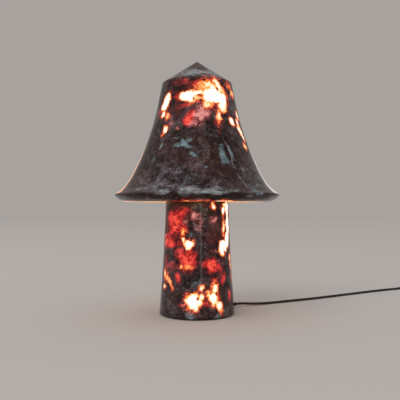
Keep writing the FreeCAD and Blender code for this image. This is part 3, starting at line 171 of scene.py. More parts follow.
def drifted(tree, size_mm, shift_mm):
    """The object's coordinates, pushed about by a cloudy field of that size, at most by half that shift."""
    place = add(tree, "TexCoord").outputs["Object"]
    field = add(tree, "TexNoise", vector=place, scale=1 / (size_mm * MM), detail=3.0).outputs["Color"]
    centred = add(tree, "VectorMath", {"operation": "SUBTRACT"}, i0=field, i1=(0.5, 0.5, 0.5)).outputs[0]
    shift = add(tree, "VectorMath", {"operation": "SCALE"}, i0=centred, scale=shift_mm * MM).outputs[0]
    return add(tree, "VectorMath", {"operation": "ADD"}, i0=place, i1=shift).outputs[0]


def threads(tree, field, width):
    """Thin lines where a cloudy field passes its middle: 1 on the line, 0 that much of its range away."""
    away = sums(tree, "ABSOLUTE", sums(tree, "SUBTRACT", field, 0.5), 0.0)
    return spread(tree, away, 0.0, width, 1.0, 0.0)


def relief(tree, shader, height, depth_mm, strength=1.0):
    """Height pattern of that depth as a bump on the shader."""
    bump = add(tree, "Bump", height=height, strength=strength, distance=depth_mm * MM)
    fill(tree, shader, normal=bump.outputs[0])


def plain(name, dark, light, roughness, grain_mm, depth_mm, metallic=0.0, ior=1.5, wear=0.08, coat=0.0,
          sheen=0.0):
    """A finish with clouds between two close colours, a roughness changed by wear, and a fine relief."""
    material, tree, shader = new_material(name)
    clouds = grain(tree, grain_mm * 12, 4.0, 0.6)
    fine = grain(tree, grain_mm, 2.0)
    both = sums(tree, "ADD", sums(tree, "MULTIPLY", clouds, 0.65), sums(tree, "MULTIPLY", fine, 0.35))
    fill(tree, shader, base_color=ramp(tree, both, ((0.35, dark), (0.65, light))), metallic=metallic, ior=ior,
         roughness=spread(tree, clouds, 0.3, 0.7, roughness - wear, roughness + wear),
         coat_weight=coat, sheen_weight=sheen)
    relief(tree, shader, fine, depth_mm)
    return material


def onyx_marble():
    """Onyx marble, turned and polished: dark plum breccia with grey clouds, teal patches and pale threads.

    Where the stone is thin the lamp inside shines through, white in the heart, then yellow, orange, dark red.
    The piece's own attributes say where. light is above 0 inside a bright patch and below 0 outside it.
    ember and rose are for dim red and pink patches, and teal, pale, grey, smooth and dark for the ground.
    dark also holds painted shade on the lip, near the shade's left edge and at the stem's top, and pale holds
    thin painted reflections along the lip's lower edge. One more attribute is the distance in millimetres
    from a pale line, on the stem a healed fissure and on the shade a painted reflection, and inside is the
    light on the inner wall."""
    material, tree, shader = new_material("polished_onyx_marble")
    names = ("light", "ember", "rose", "teal", "pale", "grey", "smooth", "dark", "crack_and_shine_mm", "inside")
    marks = {name: add(tree, "Attribute", {"attribute_name": name}).outputs["Fac"] for name in names}
    place = drifted(tree, 38, 26)
    clouds = grain(tree, 70, 4.0, 0.55, place=place)
    blotches = grain(tree, 26, 9.0, 0.62, place=place)
    mottle = grain(tree, 8.5, 8.0, 0.70, place=place)
    streaks = grain(tree, 11, 8.0, 0.68, stretch=(1, 1, 2.3), place=place)
    speckle = grain(tree, 2.6, 5.0, 0.70)

    def centred(field, share):
        """The field about zero, times the share."""
        return sums(tree, "MULTIPLY", sums(tree, "SUBTRACT", field, 0.5), share)

    def product(first, second):
        """Product of two numbers, kept from 0 to 1."""
        return sums(tree, "MULTIPLY", first, second, True)

    def total(*parts):
        """Sum of the parts."""
        result = parts[0]
        for part in parts[1:]:
            result = sums(tree, "ADD", result, part)
        return result

    # Ground: broken plum and brown, from almost black to a greyish mauve
    tone = total(blotches, centred(mottle, 1.0), centred(speckle, 0.35))
    ground = ramp(tree, tone, ((0.26, "#120808"), (0.38, "#241516"), (0.48, "#362627"),
                               (0.57, "#463739"), (0.66, "#554a4e"), (0.82, "#77727a")))
    brown = ramp(tree, tone, ((0.28, "#140807"), (0.46, "#311d1b"), (0.60, "#46302e"), (0.78, "#66524f")))
    even_brown = ramp(tree, tone, ((0.30, "#24110f"), (0.70, "#432b29")))
    colour = mixed(tree, spread(tree, clouds, 0.44, 0.58), ground, brown)
    colour = mixed(tree, product(marks["smooth"], 0.85), colour, even_brown)
    # Blue-grey flecks in streaks, and pale threads, where the ground is cloudy
    cloudy = total(spread(tree, clouds, 0.40, 0.58, 0.40, 0.05), marks["grey"])
    flecks = product(spread(tree, total(streaks, centred(speckle, 0.8)), 0.54, 0.67), cloudy)
    fleck_colour = ramp(tree, mottle, ((0.4, "#5a5c61"), (0.6, "#7f868b")))
    colour = mixed(tree, sums(tree, "MULTIPLY", flecks, 0.8), colour, fleck_colour)
    fine_threads = threads(tree, grain(tree, 21, 8.0, 0.68, place=place), 0.012)
    thread_share = product(fine_threads, sums(tree, "MULTIPLY", cloudy, 0.4))
    colour = mixed(tree, thread_share, colour, "#85868a")
    # Teal, dark and pale patches with broken edges, on the lip partly painted shade and painted reflection,
    # and a pale
    # line: a healed crack on the stem, a painted reflection on the shade
    teal = total(marks["teal"], centred(mottle, 2.2), centred(speckle, 0.8))
    teal_colour = ramp(tree, streaks, ((0.36, "#4a5657"), (0.50, "#6a7f84"), (0.64, "#93adb2")))
    colour = mixed(tree, spread(tree, teal, 0.28, 1.05, 0.0, 0.95), colour, teal_colour)
    dark = total(marks["dark"], centred(mottle, 1.6))
    dark_colour = ramp(tree, total(streaks, centred(speckle, 0.7)), (
        (0.40, "#040101"), (0.50, "#140808"), (0.56, "#482522"), (0.62, "#24120f"), (0.70, "#7c6c68")))
    colour = mixed(tree, spread(tree, dark, 0.25, 0.75, 0.0, 0.9), colour, dark_colour)
    pale = total(marks["pale"], centred(mottle, 1.7), centred(speckle, 0.6))
    pale_colour = ramp(tree, total(streaks, centred(speckle, 0.4)), (
        (0.34, "#4c4849"), (0.50, "#757577"), (0.66, "#a4a8ab")))
    colour = mixed(tree, spread(tree, pale, 0.28, 0.85, 0.0, 0.94), colour, pale_colour)
    # The pale line: on the stem a healed crack, on the shade a painted reflection
    crack_and_shine_distance = sums(tree, "ABSOLUTE", total(marks["crack_and_shine_mm"], centred(speckle, 2.4)), 0.0)
    crack_and_shine_line = spread(tree, crack_and_shine_distance, 0.2, 0.95, 0.7, 0.0)
    colour = mixed(tree, sums(tree, "MULTIPLY", crack_and_shine_line, spread(tree, mottle, 0.42, 0.56)), colour, "#a2979a")
    # Light through thin stone: bright patches with broken edges, and dim ones clouded with dark grains
    light = total(marks["light"], centred(mottle, 2.3), centred(speckle, 1.4))
    bright = ramp(tree, spread(tree, light, -0.6, 1.0), (
        (0.0, "#000000"), (0.14, "#1b0605"), (0.27, "#4c130e"), (0.36, "#96291a"), (0.44, "#dc4c2a"),
        (0.52, "#ff7c3c"), (0.62, "#ffb05e"), (0.73, "#ffdf98"), (0.86, "#fff8e0"), (1.0, "#ffffff")))
    dim_grain = total(centred(mottle, 3.1), centred(speckle, 1.2), centred(blotches, 2.5))
    ember = product(marks["ember"], total(dim_grain, centred(speckle, 1.0), 0.94))
    red = ramp(tree, ember, ((0.05, "#000000"), (0.22, "#320a0b"), (0.42, "#7c1415"),
                             (0.60, "#b41f1e"), (0.78, "#d42f29"), (1.0, "#f45640")))
    rose = product(marks["rose"], total(dim_grain, centred(speckle, 2.6), centred(mottle, 2.0), 0.96))
    pink = ramp(tree, rose, ((0.06, "#000000"), (0.28, "#4a2120"), (0.55, "#a2524f"), (1.0, "#dc9088")))
    glow = mixed(tree, 1.0, mixed(tree, 1.0, red, pink, "LIGHTEN"), bright, "LIGHTEN")
    lit = sums(tree, "MAXIMUM", spread(tree, light, -0.2, 0.3), sums(tree, "MAXIMUM", ember, rose))
    colour = mixed(tree, sums(tree, "MULTIPLY", lit, 0.8), colour, "#2a1413")
    # The inner wall is pale with the lamp's light and not polished
    colour = mixed(tree, sums(tree, "MULTIPLY", marks["inside"], 0.5), colour, "#b08a70")
    inner_glow = ramp(tree, total(marks["inside"], centred(mottle, 0.4)),
                      ((0.15, "#000000"), (0.45, "#8a3c1c"), (0.8, "#ffa550"), (1.0, "#ffe19c")))
    glow = mixed(tree, 1.0, glow, inner_glow, "LIGHTEN")
    gloss = spread(tree, mottle, 0.35, 0.65, 0.06, 0.13)
    gloss = add(tree, "Mix", i0=marks["inside"], i2=gloss, i3=0.62).outputs[0]
    fill(tree, shader, base_color=colour, emission_color=glow, emission_strength=1.05, roughness=gloss,
         ior=1.5, specular_ior_level=0.2)
    relief(tree, shader, blotches, 0.12, 0.25)
    return material


STONE = onyx_marble()

FINISHES = {
    # Die-cut wool felt: charcoal, matt, fibrous
    "felt": plain("wool_felt", "#1f1d1d", "#39363a", 0.95, 0.5, 0.25, wear=0.03, sheen=0.4),
    # Zinc-plated mild steel: pale grey metal, lightly brushed
    "zinc_steel": plain("zinc_plated_steel", "#8f9294", "#b9bbbc", 0.34, 0.25, 0.01, metallic=1.0),
    # Moulded silicone rubber: milky, soft sheen
    "silicone": plain("moulded_silicone", "#c9c6bf", "#dedbd4", 0.48, 0.6, 0.01, ior=1.41),
    # Phenolic plastic: black, moulded, low gloss
    "phenolic": plain("moulded_phenolic", "#171615", "#242221", 0.36, 0.4, 0.015, ior=1.6),
    # Glazed porcelain: white, glossy
    "porcelain": plain("glazed_porcelain", "#e6e2d9", "#f1eee7", 0.16, 1.5, 0.01, wear=0.05, coat=0.4),
    # Pressed brass: yellow metal, slightly dulled
    "brass": plain("pressed_brass", "#9c7a3c", "#c6a35c", 0.30, 0.3, 0.01, metallic=1.0),
    # Nickel-plated brass of the screw caps: warm grey metal, bright
    "cap_metal": plain("nickel_plated_cap", "#a7a4a0", "#c9c6c1", 0.24, 0.3, 0.01, metallic=1.0),
    # Opal glass of the stem that holds the filaments: milky white, glossy
    "bulb_mast": plain("opal_glass_mast", "#dcd8cf", "#efece4", 0.25, 0.8, 0.005),
    # Natural rubber bushing and grommet: black, matt
    "black_rubber": plain("black_rubber", "#121212", "#1e1d1d", 0.62, 0.35, 0.03),
    # PVC sheath of the cord: black, satin, with faint drawing marks
    "cord_sheath": plain("black_pvc_cord", "#0d0d0e", "#1a1a1b", 0.42, 0.5, 0.03, wear=0.06),
    # Natural nylon of the cord grip: milky, satin
    "clear_nylon": plain("natural_nylon", "#cfc9bb", "#e2ddd1", 0.4, 0.6, 0.01, ior=1.53),
    # Silicone insulation of the inner wires: grey, matt
    "wire_sheath": plain("wire_insulation", "#6d6c6a", "#83817e", 0.45, 0.4, 0.01),
    # ABS case of the switch: black, spark-eroded fine grain
    "switch_plastic": plain("black_abs_case", "#111112", "#1f1f20", 0.46, 0.45, 0.04),
    # Woven nylon of the tie: black, matt, with a faint sheen
    "tie_plastic": plain("black_nylon_strap", "#101011", "#232324", 0.7, 0.4, 0.08, sheen=0.3),
    # Moulded PVC plug: black, satin
    "plug_plastic": plain("black_pvc_plug", "#101011", "#1d1d1e", 0.44, 0.5, 0.03),
    # Nickel-plated brass of the plug's pins: pale metal, smooth
    "pin_metal": plain("nickel_plated_pin", "#b4b2ae", "#d2d0cb", 0.2, 0.2, 0.006, metallic=1.0),
}


def lit_glass():
    """Frosted glass of a lit lamp: warm white, even, with soft edges."""
    material, tree, shader = new_material("frosted_lit_glass")
    clouds = grain(tree, 9)
    fill(tree, shader, base_color=ramp(tree, clouds, ((0.3, "#fff0d8"), (0.7, "#fff7ea"))), roughness=0.35,
         emission_color=ramp(tree, clouds, ((0.3, "#ffc98a"), (0.7, "#ffd9a6"))), emission_strength=7.0)
    return material


def lit_filament():
    """Phosphor-coated filament: yellow-orange, lit."""
    material, tree, shader = new_material("lit_filament")
    amber = ramp(tree, grain(tree, 1.2, 2.0), ((0.3, "#ffb347"), (0.7, "#ffd27f")))
    fill(tree, shader, base_color=amber, emission_color=amber, emission_strength=12.0)
    return material


FINISHES["bulb_glass"] = lit_glass()
FINISHES["filament"] = lit_filament()


# Numbers worked out on whole arrays

# Large primes of the usual spatial hash, one for each of x, y and z, one for the seed and one to mix the bits
HASH_X, HASH_Y, HASH_Z = 73856093, 19349663, 83492791
HASH_SEED = 2654435761
HASH_MIX = 1274126177
HASH_BITS = 65535


def lattice(points, size, seed):
    """Smooth random field from 0 to 1: values hashed at the corners of cubes of that size, blended between.

    A share s of the way to the next corner counts as 3 s^2 - 2 s^3."""
    scaled = points / size
    corner = np.floor(scaled).astype(np.int64)
    part = scaled - corner
    part = part * part * (3 - 2 * part)
    total = np.zeros(len(points))
    for step in np.ndindex(2, 2, 2):
        cell = corner + np.array(step)
        mixed_up = (cell[:, 0] * HASH_X) ^ (cell[:, 1] * HASH_Y) ^ (cell[:, 2] * HASH_Z) ^ (seed * HASH_SEED)
        mixed_up = (mixed_up ^ (mixed_up >> 13)) * HASH_MIX
        value = ((mixed_up ^ (mixed_up >> 16)) & HASH_BITS) / HASH_BITS
        share = np.prod(np.where(np.array(step) == 1, part, 1 - part), axis=1)
        total += value * share
    return total


def fractal(points, size, seed, octaves):
    """Sum of lattice fields, each half as large and half as strong as the last, from 0 to 1."""
    total = np.zeros(len(points))
    weight = 0.0
    for octave in range(octaves):
        share = 0.5 ** octave
        total += share * lattice(points, size * share, seed + octave)
        weight += share
    return total / weight


def arc_points(start, middle, end, rows):
    """Points on the circle through three points, at even angles from the first to the last.

    The centre is where two chords' perpendicular bisectors meet. The first point is left out."""
    (ax, ay), (bx, by), (cx, cy) = start, middle, end
    spread_out = 2 * (ax * (by - cy) + bx * (cy - ay) + cx * (ay - by))
    ux = ((ax * ax + ay * ay) * (by - cy) + (bx * bx + by * by) * (cy - ay) + (cx * cx + cy * cy) * (ay - by))
    uy = ((ax * ax + ay * ay) * (cx - bx) + (bx * bx + by * by) * (ax - cx) + (cx * cx + cy * cy) * (bx - ax))
    centre = np.array([ux, uy]) / spread_out
    radius = np.hypot(ax - centre[0], ay - centre[1])
    angles = [math.atan2(y - centre[1], x - centre[0]) for x, y in (start, middle, end)]
    half = (angles[1] - angles[0] + math.pi) % (2 * math.pi) - math.pi
    rest = (angles[2] - angles[1] + math.pi) % (2 * math.pi) - math.pi
    turn = angles[0] + (half + rest) * np.arange(1, rows + 1) / rows
    return np.stack([centre[0] + radius * np.cos(turn), centre[1] + radius * np.sin(turn)], 1)


def profile(start, steps):
    """Closed outline of radius and height, with rows of points on each step.

    A step is ("line", r, z, rows), ("arc", r, z, rows), which goes on in the last step's direction,
    or ("bow", middle r, middle z, r, z, rows). Where an arc's chord leans from the heading by an angle,
    the arc's middle is half the chord times tan(lean / 2) off the chord, and the heading turns by 2 lean."""
    points = [np.array([start], float)]
    for step in steps:
        first = points[-1][-1]
        last = np.array(step[-3:-1], float)
        rows = step[-1]
        if step[0] == "line":
            share = (np.arange(1, rows + 1) / rows)[:, None]
            points.append(first + (last - first) * share)
            heading = (last - first) / np.linalg.norm(last - first)
            continue
        if step[0] == "arc":
            chord = last - first
            lean = math.atan2(heading[0] * chord[1] - heading[1] * chord[0], heading @ chord)
            middle = (first + last) / 2 + np.array([chord[1], -chord[0]]) / 2 * math.tan(lean / 2)
            cosine, sine = math.cos(2 * lean), math.sin(2 * lean)
            heading = np.array([[cosine, -sine], [sine, cosine]]) @ heading
        else:
            middle = np.array(step[1:3], float)
        points.append(arc_points(first, middle, last, rows))
    return np.concatenate(points)


# An edge sharper than this stays a crisp edge
SHARP_ANGLE = math.radians(28)
# Nearer than this, in mm, a point of an outline is on the axis
ON_AXIS_MM = 1e-6


def mesh_piece(name, points, faces, body, material):
    """Object from points in metres and faces, smooth, that rides on a body."""
    mesh = bpy.data.meshes.new(name)
    mesh.from_pydata(points.tolist(), [], faces)
    mesh.update()
    mesh.shade_smooth()
    mesh.set_sharp_from_angle(angle=SHARP_ANGLE)
    mesh.materials.append(material)
    piece = bpy.data.objects.new(name, mesh)
    bpy.context.scene.collection.objects.link(piece)
    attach(piece, body)
    return piece


def turned_piece(name, outline_mm, around, body, material):
    """Closed surface of revolution and its points in mm.

    An outline point (r, z) is carried to (r sin t, -r cos t, z). On the axis it is one vertex."""
    on_axis = outline_mm[:, 0] < ON_AXIS_MM
    count = np.where(on_axis, 1, around)
    first = np.concatenate([[0], np.cumsum(count)[:-1]])
    turn = 2 * math.pi * np.arange(around) / around
    rings = [np.array([[0, 0, height]]) if flat else
             np.stack([radius * np.sin(turn), -radius * np.cos(turn), np.full(around, height)], 1)
             for (radius, height), flat in zip(outline_mm, on_axis)]
    points = np.concatenate(rings)
    here = np.arange(around)
    after = (here + 1) % around
    faces = []
    rows = len(outline_mm)
    for row in range(rows):
        above = (row + 1) % rows
        if on_axis[row] and on_axis[above]:
            continue
        low, high = first[row], first[above]
        if on_axis[above]:
            ring = np.stack([low + here, low + after, np.full(around, high)], 1)
        elif on_axis[row]:
            ring = np.stack([np.full(around, low), high + after, high + here], 1)
        else:
            ring = np.stack([low + here, low + after, high + after, high + here], 1)
        faces += ring.tolist()
    return mesh_piece(name, points * MM, faces, body, material), points


def put_attribute(piece, name, values):
    """One number per vertex, kept on the mesh under that name."""
    layer = piece.data.attributes.new(name, "FLOAT", "POINT")
    layer.data.foreach_set("value", values.astype(np.float32))


def azimuth_and_radius(points_mm):
    """Degrees from the front and millimetres from the axis of each point."""
    x, y = points_mm[:, 0], points_mm[:, 1]
    return np.degrees(np.arctan2(x, -y)), np.hypot(x, y)


def uneven(points_mm, size_mm, seed, octaves, range_mm):
    """Random field of cells of that size, about zero, over that range of millimetres from low to high."""
    return (fractal(points_mm, size_mm, seed, octaves) - 0.5) * range_mm


def mark_reach(points_mm, mark, shifts):
    """Distance of each point from a mark's centre in the mark's half sizes, on the stone's surface.

    A mark is (azimuth, height, half width, half height, strength, tilt), in degrees and mm. A positive tilt
    leans its top to the left. The shifts, across and up, make its outline wander."""
    mark_azimuth, height, half_width, half_height = mark[:4]
    tilt = math.radians(mark[5])
    azimuth, radius = azimuth_and_radius(points_mm)
    turn = (azimuth - mark_azimuth + 180) % 360 - 180
    across = np.radians(turn) * radius + shifts[0]
    up = points_mm[:, 2] - height + shifts[1]
    cosine, sine = math.cos(tilt), math.sin(tilt)
    return np.hypot((across * cosine + up * sine) / half_width, (up * cosine - across * sine) / half_height)


# Size of the cells in which an outline wanders
WANDER_CELL_MM = 14


def wander(points_mm, ragged_mm, seed):
    """Shifts across and up, each a random field, up to that many millimetres either way."""
    return [uneven(points_mm, WANDER_CELL_MM, seed + step, 3, 2 * ragged_mm) for step in (0, 40)]


# A soft mark has half its strength at its half sizes, as exp(-0.69) is a half. At 4 of them nothing is left
HALF_FALL = 0.69
FALL_POWER = 2.4
FARTHEST_REACH = 4


def soft_marks(points_mm, marks, ragged_mm, seed):
    """Strength of soft marks: each falls as exp(-0.69 q^2.4), where q is the reach.

    Near ones join as the cube root of the sum of their cubes, up to 1."""
    shifts = wander(points_mm, ragged_mm, seed)
    total = np.zeros(len(points_mm))
    for mark in marks:
        reach = np.minimum(mark_reach(points_mm, mark, shifts), FARTHEST_REACH)
        total += (mark[4] * np.exp(-HALF_FALL * reach ** FALL_POWER)) ** 3
    return np.minimum(np.cbrt(total), 1)


# The edge of a bright patch frays in cells of this size, by this much from its farthest to its nearest
FRAY_CELL_MM = 5
FRAY_MM = 3.0
# The edge starts this far outside the outline. Outside it the light falls over this much more than inside
EDGE_START_MM = 0.5
OUTER_EDGE_MM = 3.0
# Inside it the light rises over the first of these and so many times the mark's own depth
EDGE_DEPTH_MM = 1.0
EDGE_DEPTH_SHARE = 1.35


def hard_marks(points_mm, marks, ragged_mm, seed):
    """Light of bright marks: 0 at the frayed outline, up to the mark's strength inside, down to -1 outside.

    It is e / d times the strength inside and e / (d + 3) outside, where e is the distance inwards from the
    outline in mm and d is 1 + 1.35 times the mark's seventh number. The highest of all marks counts."""
    shifts = wander(points_mm, ragged_mm, seed)
    start = uneven(points_mm, FRAY_CELL_MM, seed + 60, 2, FRAY_MM) + EDGE_START_MM
    level = np.full(len(points_mm), -1.0)
    for mark in marks:
        half_width, half_height, strength = mark[2:5]
        depth = EDGE_DEPTH_MM + EDGE_DEPTH_SHARE * mark[6]
        inside_mm = (1 - mark_reach(points_mm, mark, shifts)) * min(half_width, half_height) + start
        inward = np.minimum(inside_mm / depth, 1) * strength
        outward = np.maximum(inside_mm / (depth + OUTER_EDGE_MM), -1)
        level = np.maximum(level, np.where(inside_mm > 0, inward, outward))
    return level


# Farther than this from the pale line, a healed crack on the stem and a painted reflection on the shade, it
# doesn't show. Its line wanders in cells of that size over that range
CRACK_AND_SHINE_REACH_MM = 9
CRACK_AND_SHINE_CELL_MM = 16
CRACK_AND_SHINE_WANDER_MM = 5


def line_distance(points_mm, path):
    """Millimetres on the surface from a line through (azimuth, height) points to each point, from -9 to 9."""
    azimuth, radius = azimuth_and_radius(points_mm)
    along, heights = np.array(sorted(path, key=lambda spot: spot[1]), float).T
    middle = np.interp(points_mm[:, 2], heights, along)
    beyond = np.maximum(heights[0] - points_mm[:, 2], points_mm[:, 2] - heights[-1])
    across = np.radians(azimuth - middle) * radius
    return np.where(beyond > 0, CRACK_AND_SHINE_REACH_MM, np.clip(across, -CRACK_AND_SHINE_REACH_MM, CRACK_AND_SHINE_REACH_MM))


# Stone


RIM_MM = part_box("shade_stone")[0].z / MM

# Outlines from a start point, radius and height in mm, the shade's above its lower edge
SHADE_START = (99.0, 0.0)
SHADE_OUTLINE = [
    # Under and round the lip, then up the bell to the corner of the cap
    ("line", 104.0, 0.0, 3), ("arc", 122.6, 8.6, 16), ("arc", 121.9, 12.5, 7), ("arc", 105.7, 26.6, 16),
    ("arc", 96.8, 40.7, 12), ("arc", 78.6, 80.6, 34), ("arc", 59.9, 142.3, 48), ("line", 52.62, 177.3, 27),
    ("arc", 51.56, 178.84, 4),
    # Cap and its round tip
    ("line", 2.179, 211.355, 44), ("bow", 1.136, 211.836, 0.0, 212.0, 4),
    # Inside: ceiling, wall, the shoulder on the carrier's pads, and the flared mouth
    ("line", 0.0, 200.84, 1), ("line", 43.1, 173.185, 8), ("line", 50.323, 142.3, 6),
    ("line", 68.0, 62.0, 14), ("line", 77.4, 62.0, 3), ("bow", 86.384, 40.7, 97.5, 1.5, 14),
]
# How many of the shade's steps are on its outside
SHADE_OUTER_STEPS = 11

STEM_START = (49.4, 1.5)
STEM_OUTLINE = [
    # Foot, outer wall, head, and the bore with the head plate's seat and the foot's recess
    ("line", 55.4, 1.5, 2), ("line", 56.6, 2.7, 2), ("bow", 50.6, 92.0, 46.4, 196.8, 156),
    ("line", 45.2, 198.0, 2), ("line", 40.9, 198.0, 3), ("line", 40.9, 195.5, 2), ("line", 35.4, 195.5, 3),
    ("bow", 39.6, 92.0, 45.6, 12.0, 24), ("line", 49.4, 12.0, 3),
]

# Bright patches, where the light of the lamp inside comes through:
# azimuth, height, half width, half height, strength, tilt, and the depth of the edge in mm
SHADE_LIGHT = [
    # The band under the cap: left lobe, bridge, right lobe, the ridge and soft field above, the tail below
    (-17, 317, 9.5, 9.5, 1.4, 0, 3), (-9, 316, 8.5, 10.5, 1.4, 0, 3), (1, 322, 8.5, 5.5, 1.3, 0, 2.5),
    (23, 318, 18, 11.5, 1.5, 0, 3), (38, 315, 8.5, 12, 1.5, 0, 3), (36, 334, 4.5, 14, 0.95, 36, 2.5),
    (17, 334, 14, 7.5, 0.8, 12, 5), (28, 329, 10, 9, 0.85, 10, 4), (5, 329, 9, 5, 0.5, 0, 4),
    (33, 328, 8, 9, 0.8, 20, 4), (2, 314, 7, 7, 0.45, 0, 4), (13, 304, 9, 8, 0.75, 0, 5),
    (36, 303, 9, 9, 0.95, 0, 3.5), (30, 291, 2.4, 8.5, 0.85, 0, 1.5), (28, 282, 2, 6.5, 0.62, 0, 1.5),
    (39, 297, 4.7, 3.6, 0.62, 0, 2),
    # Crescent on the left and the spot below it
    (-45, 320, 4.7, 5.5, 1.2, -35, 2), (-48, 312, 6.8, 7, 1.3, -25, 2), (-51, 306, 6.2, 7.5, 1.3, -12, 2),
    (-50, 295, 3.6, 5.7, 1.1, -6, 1.5), (-44, 315, 5, 4.5, 1.1, 0, 2), (-39, 290, 3.7, 6, 0.55, 0, 3),
    (-40, 271, 4.7, 5.3, 1.2, -30, 2), (-42, 265, 2.5, 3, 0.6, -30, 2),
    # Right edge
    (49, 283, 4.5, 6, 1.2, 20, 1.5), (67, 294, 3.7, 5.3, 0.75, 12, 1), (62, 281, 3.2, 9.3, 0.9, 25, 1),
    (64, 270, 3.8, 8.8, 0.72, 28, 1), (59, 272, 3, 8, 0.8, 30, 1), (65, 265, 4.5, 7, 0.62, 30, 1.5),
    (57, 337, 5, 3.7, 0.55, 0, 2.5), (65, 327, 5.5, 7.5, 0.55, 20, 2.5), (62, 248, 4.9, 4.4, 0.4, 15, 2),
    # Under the lip: painted light, a thin line along its lower edge
    (18, 168, 9, 1.3, 1.0, 0, 0.8), (-8, 167.6, 12, 0.8, 0.4, 2, 0.8),
]
# Dark grains in the bright patches: azimuth, height, half width, half height, strength, tilt
SHADE_GRAINS = [
    (-17, 325, 1.8, 2.4, 1, 0), (-13, 327, 2.6, 1.6, 1, 0), (-4, 313, 1.4, 2.6, 1, 0),
    (-2, 308, 2.0, 2.0, 1, 0), (3, 319, 2.2, 1.3, 1, 0), (5, 311, 2.1, 1.9, 1, 0), (31, 329, 1.6, 3.5, 1, 36),
    (-6, 302, 3, 1.6, 1, 0), (10, 298, 1.8, 1.3, 1, 0), (24, 306, 2, 3, 1, 0), (-24, 312, 1.6, 2, 1, 0),
]
STEM_LIGHT = [
    (30, 162, 3.2, 4.6, 0.85, 0, 1.5), (54, 155, 4.3, 6.8, 1.2, -8, 1.5), (60, 164, 7, 3.5, 0.9, 0, 1.5),
    (68, 157, 5.3, 13, 1.2, 0, 1), (68, 135, 6.3, 15.5, 1.2, 0, 1), (62, 114, 6.4, 13, 1.3, -4, 1.5),
    (49, 101, 9.6, 11, 1.4, 0, 2), (53, 130, 2.7, 13, 0.6, -8, 1.5), (72, 76, 2.5, 14, 0.55, 0, 1),
    (-24, 126, 4.5, 4.8, 0.4, 0, 3), (-12, 108, 6.8, 6, 1.2, 20, 2), (-21, 113, 2.4, 4.1, 0.95, 20, 1.2),
    (-15, 103, 3.1, 2.7, 0.95, 0, 1.5), (-26, 75, 2.5, 2.5, 0.8, 0, 1.5), (-14, 72, 4.7, 3.8, 0.5, 0, 3),
    (-62, 62, 4, 7, 0.62, 28, 1.5), (-55, 59, 3.2, 7, 0.62, 28, 1.5), (-48, 53, 2.1, 7, 0.55, 28, 1.5),
    (-63, 44, 3.6, 4, 0.7, 0, 1.2), (8, 45, 3.2, 4.7, 1.1, -20, 1.5), (7, 34, 4.5, 4.3, 1.2, 0, 2),
    (-5, 26, 13.5, 12.5, 1.3, 0, 5), (29, 44, 5.2, 10, 1.0, -8, 3), (27, 31, 8.5, 11, 1.0, 0, 3.5),
    (35, 18, 5, 9, 1.0, 24, 2.5), (21, 36, 4.9, 5.7, 0.6, 0, 3),
]
STEM_GRAINS = [
    (1, 31, 1.7, 2.2, 1, 0), (2, 39, 1.9, 2.4, 1, 0), (31, 36, 1.7, 2.4, 1, 0), (61, 150, 2, 3.5, 1, 0),
    (-10, 113, 1.7, 1.5, 1, 0), (52, 95, 1.5, 2.5, 1, 10),
]
# Dim patches, red and pink: azimuth, height, half width, half height, strength, tilt
SHADE_EMBER = [
    (-9, 282, 7, 8, 0.95, 0), (-5, 291, 6, 6, 0.8, 0), (-42, 325, 8, 3, 0.5, 0), (-35, 317, 3.6, 3.8, 0.5, 0),
    (-17, 303, 7, 4, 0.5, 0), (-60, 299, 5.4, 8, 0.4, 0), (23, 278, 3.7, 4.2, 0.5, 20),
    (-29, 318, 4, 8, 0.55, 0), (46, 311, 5, 8, 0.5, 0), (-1, 334, 12, 5, 0.6, 14), (12, 311, 14, 12, 0.4, 0),
    (-46, 300, 10, 14, 0.4, -12), (30, 300, 14, 8, 0.45, 0), (-14, 339, 24, 6, 0.42, 0),
    (26, 342, 22, 4, 0.30, 0), (-26, 300, 9, 14, 0.24, 0),
]
SHADE_ROSE = [
    (3, 288, 9, 9.3, 1.0, 0), (6, 302, 6, 6, 1.0, 0), (-4, 276, 9.3, 5, 0.6, 0), (13, 291, 5, 6, 0.5, 0),
    (-34, 278, 3.7, 4.8, 0.45, 0), (-22, 269, 3.6, 3.4, 0.4, 0), (33, 346, 7.2, 2.3, 0.6, -20),
]
STEM_EMBER = [
    (-40, 142, 14.5, 13, 0.95, 0), (-41, 131, 16, 10.4, 0.9, 0), (-27, 153, 14, 7, 0.5, 0),
    (-53, 148, 10, 6, 0.5, 0), (-24, 126, 6.2, 7, 0.9, 0), (-46, 108, 12.4, 6, 0.9, 0),
    (-34, 111, 15, 7, 0.65, 0), (-16, 84, 13.5, 12.5, 0.95, 0), (-30, 93, 10.5, 8, 0.55, 0),
    (-12, 91, 9.3, 7, 0.85, 0), (-14, 73, 7, 5, 0.9, 0), (-60, 78, 6, 13, 0.42, 0), (-44, 75, 9.6, 7, 0.4, 0),
    (-30, 59, 4.5, 7.5, 0.75, 15), (24, 77, 10, 10, 1.0, 0), (23, 77, 6, 7, 1.0, 0), (36, 71, 8, 6, 0.7, 0),
    (12, 80, 7, 7, 0.45, 0), (46, 58, 5, 9, 0.7, -20), (26, 57, 3, 5.7, 0.6, 0), (16, 38, 5, 6, 0.65, 0),
    (30, 96, 6.6, 4.6, 0.35, 0), (14, 25, 6, 6, 0.5, 0), (-53, 119, 11.6, 7, 0.6, 0),
    (52, 112, 8, 26, 0.4, 0), (26, 118, 15, 16, 0.2, 0), (36, 66, 12, 14, 0.3, 0), (-66, 113, 6, 9, 0.85, 0),
    (61, 30, 4, 9, 0.6, 0),
]
STEM_ROSE = [
    (-6, 147, 4.5, 6, 0.6, 0), (3, 142, 6, 8, 0.52, 0), (2, 130, 6.5, 6, 0.42, 0), (29, 141, 5, 5, 0.6, 0),
    (-21, 140, 4.2, 5.7, 0.5, -20), (32, 97, 6, 3.4, 0.4, 0), (37, 83, 4.3, 3.4, 0.4, 0),
    (-17, 22, 6, 8, 0.5, 0), (-8, 14, 12.6, 3.4, 0.5, 0),
]
